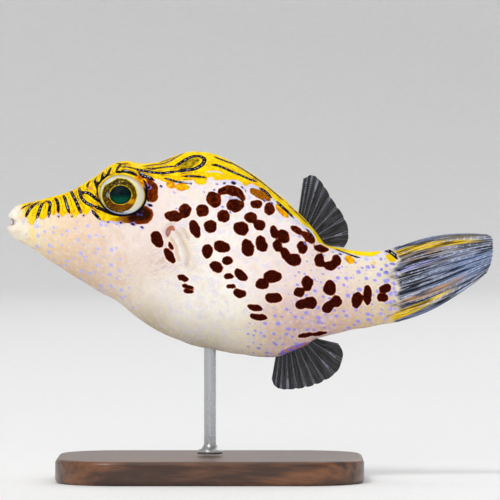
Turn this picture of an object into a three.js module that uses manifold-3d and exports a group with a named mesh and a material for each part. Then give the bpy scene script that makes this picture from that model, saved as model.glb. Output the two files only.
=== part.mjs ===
// A spotted sharpnose pufferfish (a toby, genus Canthigaster) at life size, swimming level on a
// plain display stand. Millimetres, +Z up, snout towards -X, left flank towards -Y.
// The origin is on the floor, under the middle of the fish's length.
import * as THREE from "three";
import { mergeVertices } from "three/addons/utils/BufferGeometryUtils.js";
import Module from "manifold-3d";

const wasm = await Module();
wasm.setup();

// ---------------------------------------------------------------- driving dimensions, in mm

const SNOUT_TIP_X = -36.5;
const FLESH_END_X = 22.6; // where the flesh of the tail ends in the caudal fin
const NOSE_ROUNDING = 2.1; // length over which the lips round off
const GAP = 0.3; // clearance between any two pieces

// Outlines along the body, as [x, value] pairs that a smooth curve runs through.
const BACK_LINE = [
  [-36.5, 40.6], [-34.2, 41.4], [-30.6, 42.2], [-26.1, 43.75], [-22.5, 46.1], [-20.5, 47.4],
  [-18.6, 47.9], [-16.0, 47.45], [-13.2, 47.9], [-9.0, 49.25], [-5.4, 48.9], [-0.9, 46.7],
  [3.6, 43.4], [7.2, 40.25], [9.6, 37.6], [11.2, 35.45], [13.5, 34.85], [17.1, 34.25],
  [20.0, 34.4], [22.6, 35.2],
];
const BELLY_LINE = [
  [-36.5, 36.6], [-34.2, 35.6], [-31.5, 33.95], [-27.9, 31.5], [-22.5, 28.2], [-19.8, 26.7],
  [-17.1, 24.5], [-14.4, 22.7], [-10.8, 21.0], [-5.4, 19.5], [0.9, 18.75], [4.5, 18.95],
  [9.1, 20.9], [14.4, 22.35], [18.9, 23.1], [22.6, 24.0],
];
const HALF_WIDTH = [
  [-36.5, 1.75], [-34.5, 2.2], [-31.0, 2.8], [-27.0, 3.5], [-23.0, 4.3], [-19.5, 5.1],
  [-15.0, 6.3], [-10.0, 7.2], [-4.0, 7.6], [2.0, 7.0], [7.0, 5.7], [12.0, 4.0], [17.0, 2.6],
  [20.5, 1.6], [22.6, 0.9],
];
// Where a section is widest, as a share of its height above the belly line.
const WIDEST_AT = [[-36.5, 0.5], [-30.0, 0.46], [-20.0, 0.5], [-12.0, 0.45], [-4.0, 0.42],
  [4.0, 0.46], [10.0, 0.5], [22.6, 0.5]];
// Squareness of a section's upper and lower half: 2 is an ellipse, less runs to a keel.
const BACK_SQUARENESS = [[-36.5, 2.1], [-26.0, 2.0], [-19.5, 2.5], [-13.0, 2.1], [-6.0, 1.8],
  [4.0, 1.65], [10.0, 1.8], [15.0, 2.0], [22.6, 2.2]];
const BELLY_SQUARENESS = [[-36.5, 2.1], [-24.0, 2.0], [-12.0, 1.9], [0.0, 2.0], [9.0, 1.85],
  [15.0, 2.0], [22.6, 2.2]];

// Places where the body is parted.
const LIP_CUT_X = -34.0;
const MOUTH_Z = 38.6;
const GILL_CUT_X = -12.9;
const TAIL_CUT_X = 11.8;

// The eyes: flattened balls, set high on the head and turned a little forward and up, each in
// a raised orbit.
const EYE = { x: -19.2, y: 3.85, z: 42.35, radius: 3.9, halfDepth: 2.2 };
const EYE_AXIS = new THREE.Vector3(-0.12, 1, 0.28).normalize();
const ORBIT = { rise: 0.65, radius: 4.3, steepness: 6 };

// The gape: a round notch right across the lips, and a shallow hollow behind it, given by its
// three half axes.
const GAPE = { x: -36.75, reach: 1.2, height: 0.55, width: 12 };
const MOUTH_HOLLOW = [2.0, 0.95, 0.85];

// The gill opening: a short upright slit in front of each pectoral fin.
const GILL_SLIT = { x: -11.9, z: 37.2, width: 0.45, depth: 0.7, height: 1.7, lean: 0.42 };

// Fins. A ray's root runs along a line on the body; angle and length are given at shares of the
// way from the first ray to the last, with angles in degrees above the +X direction.
const FIN_THICKNESS = { root: 0.85, edge: 0.52, rayShare: 0.2 };
const WEB_SHARE = 0.97; // the web between two rays is this much shorter: a scalloped edge
const DORSAL = {
  rays: 10,
  root: [[7.2, 39.6], [10.0, 35.3]],
  angle: [[0, 82], [0.3, 75], [0.6, 54], [0.85, 22], [1, -6]],
  length: [[0, 5.3], [0.15, 6.9], [0.33, 7.4], [0.6, 6.1], [0.85, 5.5], [1, 4.6]],
  bow: 0,
};
const ANAL = {
  rays: 11,
  root: [[4.0, 19.4], [8.9, 21.5]],
  angle: [[0, -100], [0.25, -91], [0.5, -74], [0.8, -48], [1, -13]],
  length: [[0, 4.4], [0.1, 5.7], [0.3, 6.5], [0.8, 7.1], [0.92, 6.2], [1, 5.0]],
  bow: 0,
};
const CAUDAL = {
  rays: 11,
  root: [[22.0, 34.7], [22.0, 24.2]],
  angle: [[0, 8.5], [0.5, 18], [1, 27.5]],
  length: [[0, 14.3], [0.2, 14.8], [0.7, 15.3], [1, 15.0]],
  bow: 0.85, // how far the fin's upper and lower edges curve outwards
};
const PECTORAL = {
  rays: 16,
  root: [[-10.9, 36.8], [-9.7, 33.0]], // on the flank, as [x, z]
  reach: [[0, 4.6], [0.15, 6.0], [0.5, 7.0], [0.85, 6.0], [1, 4.6]], // out from the flank
  sweep: [[0, 1.0], [0.5, 2.4], [1, 2.0]], // backwards at the edge
  rise: [[0, 1.9], [0.5, 0.2], [1, -1.6]], // upwards at the edge
  inset: 0.6, // how deep in the flank the rays begin
  cup: 0.5, // how far the middle of the fin bows forwards
};

// The stand.
const BASE = { x: -6.0, length: 46, depth: 31, height: 3.6, corner: 9, bevel: 0.5 };
const ROD = { x: -6.0, radius: 0.9, depthInBody: 3.0 };

// Mesh density.
const RING_SIDES = 32;
const BODY_STATIONS = 38;
const NOSE_STATIONS = 5;
const FIN_STEPS = 3;
const BALL_SIDES = 22;
const SLIT_SIDES = 12;
const ROD_SIDES = 20;
const CORNER_STEPS = 6;

// ---------------------------------------------------------------- small tools

// A smooth function through [x, value] pairs: cubic pieces with slopes from the neighbours.
function smooth(points) {
  const last = points.length - 1;
  const slopes = points.map((point, i) => {
    const before = points[Math.max(i - 1, 0)];
    const after = points[Math.min(i + 1, last)];
    return (after[1] - before[1]) / (after[0] - before[0]);
  });
  return (x) => {
    let i = 0;
    while (i < last - 1 && x > points[i + 1][0]) i += 1;
    const [x0, v0] = points[i];
    const [x1, v1] = points[i + 1];
    const span = x1 - x0;
    const t = Math.min(Math.max((x - x0) / span, 0), 1);
    const s = 1 - t;
    return (
      v0 * (1 + 2 * t) * s * s +
      slopes[i] * span * t * s * s +
      v1 * (3 - 2 * t) * t * t -
      slopes[i + 1] * span * t * t * s
    );
  };
}

// A closed three.js geometry as a manifold-3d solid.
function solidOf(geometry) {
  const bare = geometry.clone();
  bare.deleteAttribute("normal");
  bare.deleteAttribute("uv");
  const merged = mergeVertices(bare, 1e-4);
  return new wasm.Manifold(
    new wasm.Mesh({
      numProp: 3,
      vertProperties: new Float32Array(merged.attributes.position.array),
      triVerts: new Uint32Array(merged.index.array),
    }),
  );
}

// A solid from a list of points and a list of triangles.
function facetedSolid(points, triangles) {
  const geometry = new THREE.BufferGeometry();
  geometry.setAttribute("position", new THREE.Float32BufferAttribute(points.flat(), 3));
  geometry.setIndex(triangles.flat());
  return solidOf(geometry);
}

// A solid as a named mesh.
function meshOf(name, solid, material) {
  const { vertProperties, triVerts } = solid.getMesh();
  const geometry = new THREE.BufferGeometry();
  geometry.setAttribute("position", new THREE.BufferAttribute(vertProperties, 3));
  geometry.setIndex(new THREE.BufferAttribute(triVerts, 1));
  geometry.computeVertexNormals();
  const mesh = new THREE.Mesh(geometry, material);
  mesh.name = name;
  return mesh;
}

// A ball stretched to three half axes, with its local Y turned to follow axis.
function ellipsoid(centre, halfAxes, axis = new THREE.Vector3(0, 1, 0)) {
  const geometry = new THREE.SphereGeometry(1, BALL_SIDES, BALL_SIDES / 2);
  const upright = new THREE.Vector3(0, 1, 0);
  geometry.scale(...halfAxes);
  geometry.applyQuaternion(new THREE.Quaternion().setFromUnitVectors(upright, axis));
  geometry.translate(...centre);
  return solidOf(geometry);
}

// ---------------------------------------------------------------- the body

const backLine = smooth(BACK_LINE);
const bellyLine = smooth(BELLY_LINE);
const halfWidth = smooth(HALF_WIDTH);
const widestAt = smooth(WIDEST_AT);
const backSquareness = smooth(BACK_SQUARENESS);
const bellySquareness = smooth(BELLY_SQUARENESS);

// How full a section is, from 0 at the tip of the snout to 1 behind the lips.
function noseFullness(x) {
  const share = Math.min(Math.max((x - SNOUT_TIP_X) / NOSE_ROUNDING, 0), 1);
  const roundness = 2.4;
  return (1 - (1 - share) ** roundness) ** (1 / roundness);
}

// How far the orbit round an eye lifts the skin of the head.
function orbitRise(x, z) {
  const distance = Math.hypot(x - EYE.x, z - EYE.z) / ORBIT.radius;
  return ORBIT.rise / (1 + distance ** ORBIT.steepness);
}

// A point of the section at x. turn runs from 0 on the back, through 0.25 on the right flank,
// 0.5 under the belly and 0.75 on the left flank. grow is how far outside the skin it lies.
function skinPoint(x, turn, grow = 0) {
  const full = noseFullness(x);
  const top = backLine(x);
  const bottom = bellyLine(x);
  const level = bottom + (top - bottom) * widestAt(x);
  const cosine = Math.cos(turn * 2 * Math.PI);
  const sine = Math.sin(turn * 2 * Math.PI);
  const power = 2 / (cosine > 0 ? backSquareness(x) : bellySquareness(x));
  const height = (cosine > 0 ? top - level : level - bottom) * full + grow;
  const width = halfWidth(x) * full + grow;
  const z = level + height * Math.sign(cosine) * Math.abs(cosine) ** power;
  const side = Math.sign(sine) * Math.abs(sine) ** power;
  return [x, side * (width + orbitRise(x, z)), z];
}

// The whole body as one closed loft, or with grow a slightly larger one for seating the fins.
function bodySolid(grow = 0) {
  const stations = [];
  for (let i = 1; i <= NOSE_STATIONS; i += 1) {
    const bend = (i / NOSE_STATIONS) * (Math.PI / 2);
    stations.push(SNOUT_TIP_X + NOSE_ROUNDING * (1 - Math.cos(bend)));
  }
  const start = SNOUT_TIP_X + NOSE_ROUNDING;
  for (let i = 1; i <= BODY_STATIONS; i += 1) {
    stations.push(start + ((FLESH_END_X - start) * i) / BODY_STATIONS);
  }
  const points = [];
  for (const x of stations) {
    for (let k = 0; k < RING_SIDES; k += 1) points.push(skinPoint(x, k / RING_SIDES, grow));
  }
  const triangles = [];
  const at = (ring, k) => ring * RING_SIDES + (k % RING_SIDES);
  for (let ring = 0; ring + 1 < stations.length; ring += 1) {
    for (let k = 0; k < RING_SIDES; k += 1) {
      triangles.push([at(ring, k), at(ring + 1, k), at(ring + 1, k + 1)]);
      triangles.push([at(ring, k), at(ring + 1, k + 1), at(ring, k + 1)]);
    }
  }
  const middle = (x) => (backLine(x) + bellyLine(x)) / 2;
  const nose = points.push([SNOUT_TIP_X - grow, 0, middle(SNOUT_TIP_X)]) - 1;
  const end = points.push([FLESH_END_X + grow, 0, middle(FLESH_END_X)]) - 1;
  const lastRing = stations.length - 1;
  for (let k = 0; k < RING_SIDES; k += 1) {
    triangles.push([nose, at(0, k), at(0, k + 1)]);
    triangles.push([end, at(lastRing, k + 1), at(lastRing, k)]);
  }
  return facetedSolid(points, triangles);
}

// The eye on one side (1 right, -1 left), grown by some clearance.
function eyeSolid(side, grow = 0) {
  const axis = new THREE.Vector3(EYE_AXIS.x, EYE_AXIS.y * side, EYE_AXIS.z);
  const halfAxes = [EYE.radius + grow, EYE.halfDepth + grow, EYE.radius + grow];
  return ellipsoid([EYE.x, EYE.y * side, EYE.z], halfAxes, axis);
}

function mouthCut() {
  const notch = new THREE.CylinderGeometry(1, 1, GAPE.width, BALL_SIDES);
  notch.scale(GAPE.reach, 1, GAPE.height);
  notch.translate(GAPE.x, 0, MOUTH_Z);
  return solidOf(notch).add(ellipsoid([SNOUT_TIP_X, 0, MOUTH_Z], MOUTH_HOLLOW));
}

function gillSlit(side) {
  const flank = Math.abs(skinPoint(GILL_SLIT.x, 0.25)[1]);
  const slit = new THREE.SphereGeometry(1, SLIT_SIDES, SLIT_SIDES);
  slit.scale(GILL_SLIT.width, GILL_SLIT.depth, GILL_SLIT.height);
  slit.rotateY(GILL_SLIT.lean);
  slit.translate(GILL_SLIT.x, side * flank, GILL_SLIT.z);
  return solidOf(slit);
}

// ---------------------------------------------------------------- the fins

// A fan of rays as one plate. roots and edges hold the two ends of each line across the fan,
// where a ray and the web beside it take turns. bowAt shifts the point at shares s, t.
function fanSolid(roots, edges, bowAt) {
  const lines = roots.length;
  const middle = Math.floor(lines / 2);
  const across = roots[lines - 1].clone().sub(roots[0]);
  const outwards = edges[middle].clone().sub(roots[middle]);
  const normal = across.cross(outwards).normalize();
  const points = [];
  const corner = (line, step, face) => (line * (FIN_STEPS + 1) + step) * 2 + face;
  for (let line = 0; line < lines; line += 1) {
    const fatness = line % 2 === 0 ? 1 + FIN_THICKNESS.rayShare : 1;
    for (let step = 0; step <= FIN_STEPS; step += 1) {
      const t = step / FIN_STEPS;
      const centre = roots[line].clone().lerp(edges[line], t);
      centre.add(bowAt(line / (lines - 1), t));
      const thickness = THREE.MathUtils.lerp(FIN_THICKNESS.root, FIN_THICKNESS.edge, t);
      const half = (thickness * fatness) / 2;
      for (const face of [1, -1]) {
        points.push(centre.clone().addScaledVector(normal, half * face).toArray());
      }
    }
  }
  const triangles = [];
  const quad = (a, b, c, d) => triangles.push([a, b, c], [a, c, d]);
  const far = lines - 1;
  const tip = FIN_STEPS;
  for (let line = 0; line < far; line += 1) {
    const next = line + 1;
    for (let step = 0; step < tip; step += 1) {
      const on = step + 1;
      quad(corner(line, step, 0), corner(next, step, 0), corner(next, on, 0), corner(line, on, 0));
      quad(corner(line, step, 1), corner(line, on, 1), corner(next, on, 1), corner(next, step, 1));
    }
    quad(corner(line, 0, 0), corner(line, 0, 1), corner(next, 0, 1), corner(next, 0, 0));
    quad(corner(line, tip, 0), corner(next, tip, 0), corner(next, tip, 1), corner(line, tip, 1));
  }
  for (let step = 0; step < tip; step += 1) {
    const on = step + 1;
    quad(corner(0, step, 0), corner(0, on, 0), corner(0, on, 1), corner(0, step, 1));
    quad(corner(far, step, 0), corner(far, step, 1), corner(far, on, 1), corner(far, on, 0));
  }
  return facetedSolid(points, triangles);
}

// Calls place for each line across a fan, with its share of the way across and of the reach.
function fanLines(rays, place) {
  const lines = 2 * rays - 1;
  for (let line = 0; line < lines; line += 1) {
    place(line / (lines - 1), line % 2 === 0 ? 1 : WEB_SHARE);
  }
}

// An unpaired fin in the plane of symmetry. Its bow curves the first and last ray apart.
function medianFin(fin) {
  const angle = smooth(fin.angle);
  const length = smooth(fin.length);
  const [[x0, z0], [x1, z1]] = fin.root;
  const roots = [];
  const edges = [];
  fanLines(fin.rays, (s, share) => {
    const root = new THREE.Vector3(x0 + (x1 - x0) * s, 0, z0 + (z1 - z0) * s);
    const heading = THREE.MathUtils.degToRad(angle(s));
    const ray = new THREE.Vector3(Math.cos(heading), 0, Math.sin(heading));
    roots.push(root);
    edges.push(root.clone().addScaledVector(ray, length(s) * share));
  });
  return fanSolid(roots, edges, (s, t) => {
    return new THREE.Vector3(0, 0, fin.bow * (1 - 2 * s) * 4 * t * (1 - t));
  });
}

// The pectoral fin on one side (1 right, -1 left), spread outwards from the flank.
function pectoralFin(side) {
  const reach = smooth(PECTORAL.reach);
  const sweep = smooth(PECTORAL.sweep);
  const rise = smooth(PECTORAL.rise);
  const [[x0, z0], [x1, z1]] = PECTORAL.root;
  const roots = [];
  const edges = [];
  fanLines(PECTORAL.rays, (s, share) => {
    const x = x0 + (x1 - x0) * s;
    const z = z0 + (z1 - z0) * s;
    const flank = Math.abs(skinPoint(x, 0.25)[1]);
    roots.push(new THREE.Vector3(x, side * (flank - PECTORAL.inset), z));
    edges.push(new THREE.Vector3(
      x + sweep(s) * share,
      side * (flank + reach(s) * share),
      z + rise(s) * share,
    ));
  });
  return fanSolid(roots, edges, (s, t) => {
    return new THREE.Vector3(-PECTORAL.cup * 4 * t * (1 - t), 0, 0);
  });
}

// ---------------------------------------------------------------- the stand

function standBase() {
  const { x, length, depth, height, corner, bevel } = BASE;
  const left = x - length / 2 + bevel;
  const right = x + length / 2 - bevel;
  const back = depth / 2 - bevel;
  const radius = corner - bevel;
  const outline = new THREE.Shape();
  outline.moveTo(left + radius, -back);
  outline.lineTo(right - radius, -back);
  outline.absarc(right - radius, -back + radius, radius, -Math.PI / 2, 0);
  outline.absarc(right - radius, back - radius, radius, 0, Math.PI / 2);
  outline.absarc(left + radius, back - radius, radius, Math.PI / 2, Math.PI);
  outline.absarc(left + radius, -back + radius, radius, Math.PI, Math.PI * 1.5);
  const plate = new THREE.ExtrudeGeometry(outline, {
    depth: height - 2 * bevel,
    bevelThickness: bevel,
    bevelSize: bevel,
    bevelSegments: 2,
    curveSegments: CORNER_STEPS,
  });
  plate.translate(0, 0, bevel);
  return solidOf(plate);
}

function rodSolid(bottom, top, radius) {
  const rod = new THREE.CylinderGeometry(radius, radius, top - bottom, ROD_SIDES);
  rod.rotateX(Math.PI / 2);
  rod.translate(ROD.x, 0, (bottom + top) / 2);
  return solidOf(rod);
}

// ---------------------------------------------------------------- assembly

const skin = new THREE.MeshStandardMaterial({ color: 0xf2e6dc, roughness: 0.45 });
const lip = new THREE.MeshStandardMaterial({ color: 0xf7f1ea, roughness: 0.4 });
const web = new THREE.MeshStandardMaterial({ color: 0x6f7278, roughness: 0.35 });
const iris = new THREE.MeshStandardMaterial({ color: 0x7a5c12, roughness: 0.1 });
const walnut = new THREE.MeshStandardMaterial({ color: 0x4a2e1c, roughness: 0.5 });
const steel = new THREE.MeshStandardMaterial({ color: 0xb9bcc0, roughness: 0.3, metalness: 1 });

const group = new THREE.Group();
const add = (name, solid, material) => group.add(meshOf(name, solid, material));

const socketTop = bellyLine(ROD.x) + ROD.depthInBody;
const body = bodySolid()
  .subtract(mouthCut())
  .subtract(eyeSolid(1, GAP))
  .subtract(eyeSolid(-1, GAP))
  .subtract(gillSlit(1))
  .subtract(gillSlit(-1))
  .subtract(rodSolid(0, socketTop, ROD.radius + GAP));

// The part of the body between two upright cuts.
function slice(from, to) {
  return body.trimByPlane([1, 0, 0], from + GAP / 2).trimByPlane([-1, 0, 0], -to + GAP / 2);
}

const lips = slice(SNOUT_TIP_X - GAP, LIP_CUT_X);
add("upper_lip", lips.trimByPlane([0, 0, 1], MOUTH_Z + GAP / 2), lip);
add("lower_lip", lips.trimByPlane([0, 0, -1], -MOUTH_Z + GAP / 2), lip);
add("head", slice(LIP_CUT_X, GILL_CUT_X), skin);
add("trunk", slice(GILL_CUT_X, TAIL_CUT_X), skin);
add("tail", slice(TAIL_CUT_X, FLESH_END_X + GAP), skin);

const seat = bodySolid(GAP);
add("dorsal_fin", medianFin(DORSAL).subtract(seat), web);
add("anal_fin", medianFin(ANAL).subtract(seat), web);
add("caudal_fin", medianFin(CAUDAL).subtract(seat), web);
for (const [name, side] of [["left", -1], ["right", 1]]) {
  add(`pectoral_fin_${name}`, pectoralFin(side).subtract(seat), web);
  add(`eye_${name}`, eyeSolid(side), iris);
}

add("stand_base", standBase(), walnut);
add("stand_rod", rodSolid(BASE.height + GAP, socketTop - GAP, ROD.radius), steel);

export default group;
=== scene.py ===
"""A spotted sharpnose pufferfish (a toby) as a life-size museum model on a plain display stand.

One skin replaces the CAD's lips, head, trunk and tail. The eyes, the five fins and the stand are
pieces of their own. Shapes are worked out in millimetres, in the CAD's frame: snout towards -X,
left flank towards -Y, floor at z = 0. The outlines and the fins' rays repeat those of part.mjs.
"""

import math

import bpy
import numpy as np
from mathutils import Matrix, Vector
from mathutils.bvhtree import BVHTree


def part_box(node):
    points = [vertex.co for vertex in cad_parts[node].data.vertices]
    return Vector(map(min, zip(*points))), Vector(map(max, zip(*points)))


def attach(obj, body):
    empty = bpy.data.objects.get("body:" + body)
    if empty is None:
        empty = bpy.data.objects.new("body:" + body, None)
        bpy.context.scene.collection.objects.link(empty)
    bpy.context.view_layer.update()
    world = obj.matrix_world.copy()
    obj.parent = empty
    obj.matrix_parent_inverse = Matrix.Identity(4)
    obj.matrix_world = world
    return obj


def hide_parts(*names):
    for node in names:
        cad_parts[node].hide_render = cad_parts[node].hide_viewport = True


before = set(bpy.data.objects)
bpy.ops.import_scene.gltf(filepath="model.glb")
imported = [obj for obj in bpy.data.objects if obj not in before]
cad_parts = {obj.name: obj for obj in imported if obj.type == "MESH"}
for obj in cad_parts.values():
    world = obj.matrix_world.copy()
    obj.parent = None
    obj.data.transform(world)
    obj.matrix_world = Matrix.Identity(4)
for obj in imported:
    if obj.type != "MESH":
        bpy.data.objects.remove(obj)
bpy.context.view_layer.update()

MM = 0.001
LEFT = -1
RIGHT = 1

# ---------------------------------------------------------------- the body, as in part.mjs

SNOUT_TIP_X = -36.5
FLESH_END_X = 22.6
NOSE_ROUNDING = 2.1
NOSE_ROUNDNESS = 2.4
MOUTH_Z = 38.6

# Outlines along the body, as (x, value) pairs that a smooth curve runs through.
BACK_LINE = [
    (-36.5, 40.6), (-34.2, 41.4), (-30.6, 42.2), (-26.1, 43.75), (-22.5, 46.1), (-20.5, 47.4),
    (-18.6, 47.9), (-16.0, 47.45), (-13.2, 47.9), (-9.0, 49.25), (-5.4, 48.9), (-0.9, 46.7),
    (3.6, 43.4), (7.2, 40.25), (9.6, 37.6), (11.2, 35.45), (13.5, 34.85), (17.1, 34.25),
    (20.0, 34.4), (22.6, 35.2),
]
BELLY_LINE = [
    (-36.5, 36.6), (-34.2, 35.6), (-31.5, 33.95), (-27.9, 31.5), (-22.5, 28.2), (-19.8, 26.7),
    (-17.1, 24.5), (-14.4, 22.7), (-10.8, 21.0), (-5.4, 19.5), (0.9, 18.75), (4.5, 18.95),
    (9.1, 20.9), (14.4, 22.35), (18.9, 23.1), (22.6, 24.0),
]
HALF_WIDTH = [
    (-36.5, 1.75), (-34.5, 2.2), (-31.0, 2.8), (-27.0, 3.5), (-23.0, 4.3), (-19.5, 5.1),
    (-15.0, 6.3), (-10.0, 7.2), (-4.0, 7.6), (2.0, 7.0), (7.0, 5.7), (12.0, 4.0), (17.0, 2.6),
    (20.5, 1.6), (22.6, 0.9),
]
WIDEST_AT = [
    (-36.5, 0.5), (-30.0, 0.46), (-20.0, 0.5), (-12.0, 0.45), (-4.0, 0.42), (4.0, 0.46),
    (10.0, 0.5), (22.6, 0.5),
]
BACK_SQUARENESS = [
    (-36.5, 2.1), (-26.0, 2.0), (-19.5, 2.5), (-13.0, 2.1), (-6.0, 1.8), (4.0, 1.65),
    (10.0, 1.8), (15.0, 2.0), (22.6, 2.2),
]
BELLY_SQUARENESS = [
    (-36.5, 2.1), (-24.0, 2.0), (-12.0, 1.9), (0.0, 2.0), (9.0, 1.85), (15.0, 2.0),
    (22.6, 2.2),
]

EYE = {"x": -19.2, "y": 3.85, "z": 42.35, "radius": 3.9, "half_depth": 2.2,
       "axis": (-0.12, 1.0, 0.28)}
ORBIT = {"rise": 0.65, "radius": 4.3, "steepness": 6}

# The fins. A ray's root runs along a line on the body; angle and length are given at shares of
# the way from the first ray to the last, with angles in degrees above the +X direction.
DORSAL = {
    "rays": 10,
    "root": [(7.2, 39.6), (10.0, 35.3)],
    "angle": [(0, 82), (0.3, 75), (0.6, 54), (0.85, 22), (1, -6)],
    "length": [(0, 5.3), (0.15, 6.9), (0.33, 7.4), (0.6, 6.1), (0.85, 5.5), (1, 4.6)],
    "bow": 0,
}
ANAL = {
    "rays": 11,
    "root": [(4.0, 19.4), (8.9, 21.5)],
    "angle": [(0, -100), (0.25, -91), (0.5, -74), (0.8, -48), (1, -13)],
    "length": [(0, 4.4), (0.1, 5.7), (0.3, 6.5), (0.8, 7.1), (0.92, 6.2), (1, 5.0)],
    "bow": 0,
}
CAUDAL = {
    "rays": 11,
    "root": [(22.0, 34.7), (22.0, 24.2)],
    "angle": [(0, 8.5), (0.5, 18), (1, 27.5)],
    "length": [(0, 14.3), (0.2, 14.8), (0.7, 15.3), (1, 15.0)],
    "bow": 0.85,
}
PECTORAL = {
    "rays": 16,
    "root": [(-10.9, 36.8), (-9.7, 33.0)],
    "reach": [(0, 4.6), (0.15, 6.0), (0.5, 7.0), (0.85, 6.0), (1, 4.6)],
    "sweep": [(0, 1.0), (0.5, 2.4), (1, 2.0)],
    "rise": [(0, 1.9), (0.5, 0.2), (1, -1.6)],
    "inset": 0.6,
    "cup": 0.5,
}

# ---------------------------------------------------------------- relief of the skin, in mm

SKIN_NOSE_STATIONS = 36
SKIN_BODY_STATIONS = 262
SKIN_HALF_RING = 163
SECTION_SAMPLES = 900  # how finely a section is measured before it is cut into equal steps

MOUTH = {
    "depth": 0.88, "above": 0.95, "below": 0.6, "roundness": 1.5, "front": -35.8,
    "narrowing": -35.6, "corner": -34.75,
}
LIP_ROLLS = [(39.7, 0.5, 0.1), (37.55, 0.6, 0.2)]  # height, half thickness and rise of each
LIP_START_X = -35.3
LIP_SHARE = 0.86  # in front of there the lips are drawn back this much, to the CAD's length
EYE_OPENING = {"x": -19.08, "z": 42.9, "half_length": 3.42, "half_height": 2.95, "lean": 0.035}
EYE_SNAP = 0.036  # how near the opening's edge, as a share, points are drawn onto it
LID_THICKNESS = 0.2
LID_TUCK = (0.9, 0.45)  # how far the skin is tucked in under the ball, inside and at the edge
LIP_CREASE = {"x": -34.85, "slope": 0.12, "depth": 0.05, "width": 0.2, "half_height": 1.3}
GILL_SLIT = [(-11.15, 38.5), (-12.1, 38.15), (-12.45, 37.3), (-12.2, 36.5)]
GILL = {"depth": 0.42, "width": 0.26, "flap_rise": 0.2, "flap_at": 0.55, "flap_width": 0.4}
PECTORAL_LOBE = [(-10.9, 37.0), (-9.6, 32.8)]
SOFT_FOLDS = [
    [(-10.9, 37.3), (-10.4, 36.9), (-10.0, 36.1), (-9.5, 35.1), (-9.2, 34.2), (-9.1, 33.5),
     (-9.4, 32.5)],
    [(-9.8, 37.7), (-9.5, 37.1), (-9.2, 36.4)],
    [(-11.6, 36.2), (-11.1, 35.2), (-10.9, 34.0), (-10.6, 33.2)],
]
ANAL_BASE = [(0.5, 18.0), (3.0, 18.4), (4.9, 19.0), (6.4, 19.6), (8.4, 20.4)]
# Lines of (x, z) points along which the flesh stands out or sinks in: rise, width, line.
SWELLS = [(0.4, 0.75, PECTORAL_LOBE), (0.36, 1.1, ANAL_BASE)]
SWELLS += [(-0.12, 0.25, fold) for fold in SOFT_FOLDS]
NOSTRIL = {"x": -23.8, "z": 43.75, "rise": 0.18, "width": 0.4, "hole": 0.1, "hole_width": 0.15}
CHEEK = {"x": -25.0, "z": 36.5, "rise": 0.2, "length": 4.0, "height": 3.0}
WAVE_RISE = 0.055
WRINKLES = {"x": -13.5, "z": 32.3, "size": 1.8, "rise": 0.035}
TAIL_RUN_OUT = {"start": 19.5, "rise": -0.2, "width": 0.65}

# ---------------------------------------------------------------- markings of the skin, in mm

# Dark red-brown spots on the flank: x, z, length, height, tilt in degrees.
SPOTS = [
    (-11.4, 39.65, 2.7, 1.65, -5), (-9.65, 40.5, 1.8, 2.25, 0), (-7.1, 40.5, 1.95, 1.95, 0),
    (-8.2, 37.75, 2.8, 1.6, 112), (-5.9, 38.15, 1.95, 1.95, 0), (-5.4, 42.1, 2.1, 2.6, 35),
    (-3.9, 39.65, 1.95, 1.95, 0), (-2.2, 41.25, 2.7, 2.1, 0), (1.0, 41.4, 1.8, 1.35, 0),
    (2.9, 40.65, 1.65, 1.95, 0), (0.1, 39.5, 1.95, 1.7, 0), (1.45, 38.3, 1.8, 1.7, 20),
    (-1.35, 37.8, 2.3, 2.2, 0), (-0.35, 34.9, 2.0, 2.55, 15), (1.7, 35.5, 1.7, 2.6, 15),
    (-6.35, 34.45, 1.75, 2.2, 0), (-4.2, 35.1, 2.5, 1.85, -12), (-13.8, 36.2, 1.8, 2.6, 20),
    (-12.0, 33.8, 2.55, 1.3, 128), (-10.05, 30.5, 1.9, 1.0, -22), (-9.2, 29.15, 1.9, 0.65, -12),
    (-9.15, 28.5, 1.6, 0.6, -5), (-3.35, 33.05, 1.65, 1.3, 0), (-5.0, 32.05, 2.15, 1.6, -25),
    (-3.1, 30.75, 1.45, 1.0, 0), (-1.35, 30.95, 2.4, 1.5, -40), (-2.8, 29.25, 1.5, 0.9, 0),
    (-1.5, 28.2, 2.1, 1.3, -8), (0.7, 26.05, 2.35, 1.05, -12), (1.3, 24.65, 2.8, 1.05, -10),
    (3.35, 30.7, 2.7, 2.1, 0), (1.8, 29.55, 2.1, 1.65, 0), (3.5, 27.5, 2.7, 1.65, 0),
    (3.6, 37.25, 1.35, 1.9, 14), (5.0, 36.6, 1.75, 2.2, 25), (4.1, 35.2, 1.5, 1.9, 20),
    (5.3, 33.95, 1.5, 2.1, 25), (6.55, 33.1, 2.3, 1.85, -10), (7.8, 35.0, 1.55, 2.1, 28),
    (10.7, 34.75, 2.3, 1.1, -8), (10.35, 33.0, 1.6, 2.1, 12), (11.9, 32.15, 2.0, 1.4, -8),
    (12.95, 33.0, 1.5, 1.8, 10), (11.9, 28.9, 2.05, 2.4, -8), (8.55, 29.65, 1.75, 2.3, 8),
    (7.35, 28.3, 1.75, 1.55, 0), (7.65, 26.45, 1.9, 1.5, 12), (9.0, 26.7, 2.1, 1.85, 12),
    (11.6, 26.0, 1.95, 1.6, 25), (12.8, 26.85, 2.0, 1.75, 25), (16.0, 27.1, 1.65, 2.6, -8),
    (17.6, 27.8, 1.45, 3.0, 0), (20.2, 28.75, 2.0, 1.35, 12), (19.85, 27.4, 1.8, 1.4, -6),
    (8.2, 21.8, 2.2, 0.85, 12), (10.3, 22.0, 2.6, 0.65, 6), (-11.77, 35.3, 0.6, 1.3, 26),
    (6.95, 37.6, 2.0, 1.05, -35), (8.75, 36.4, 2.4, 1.35, -38),
]
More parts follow.
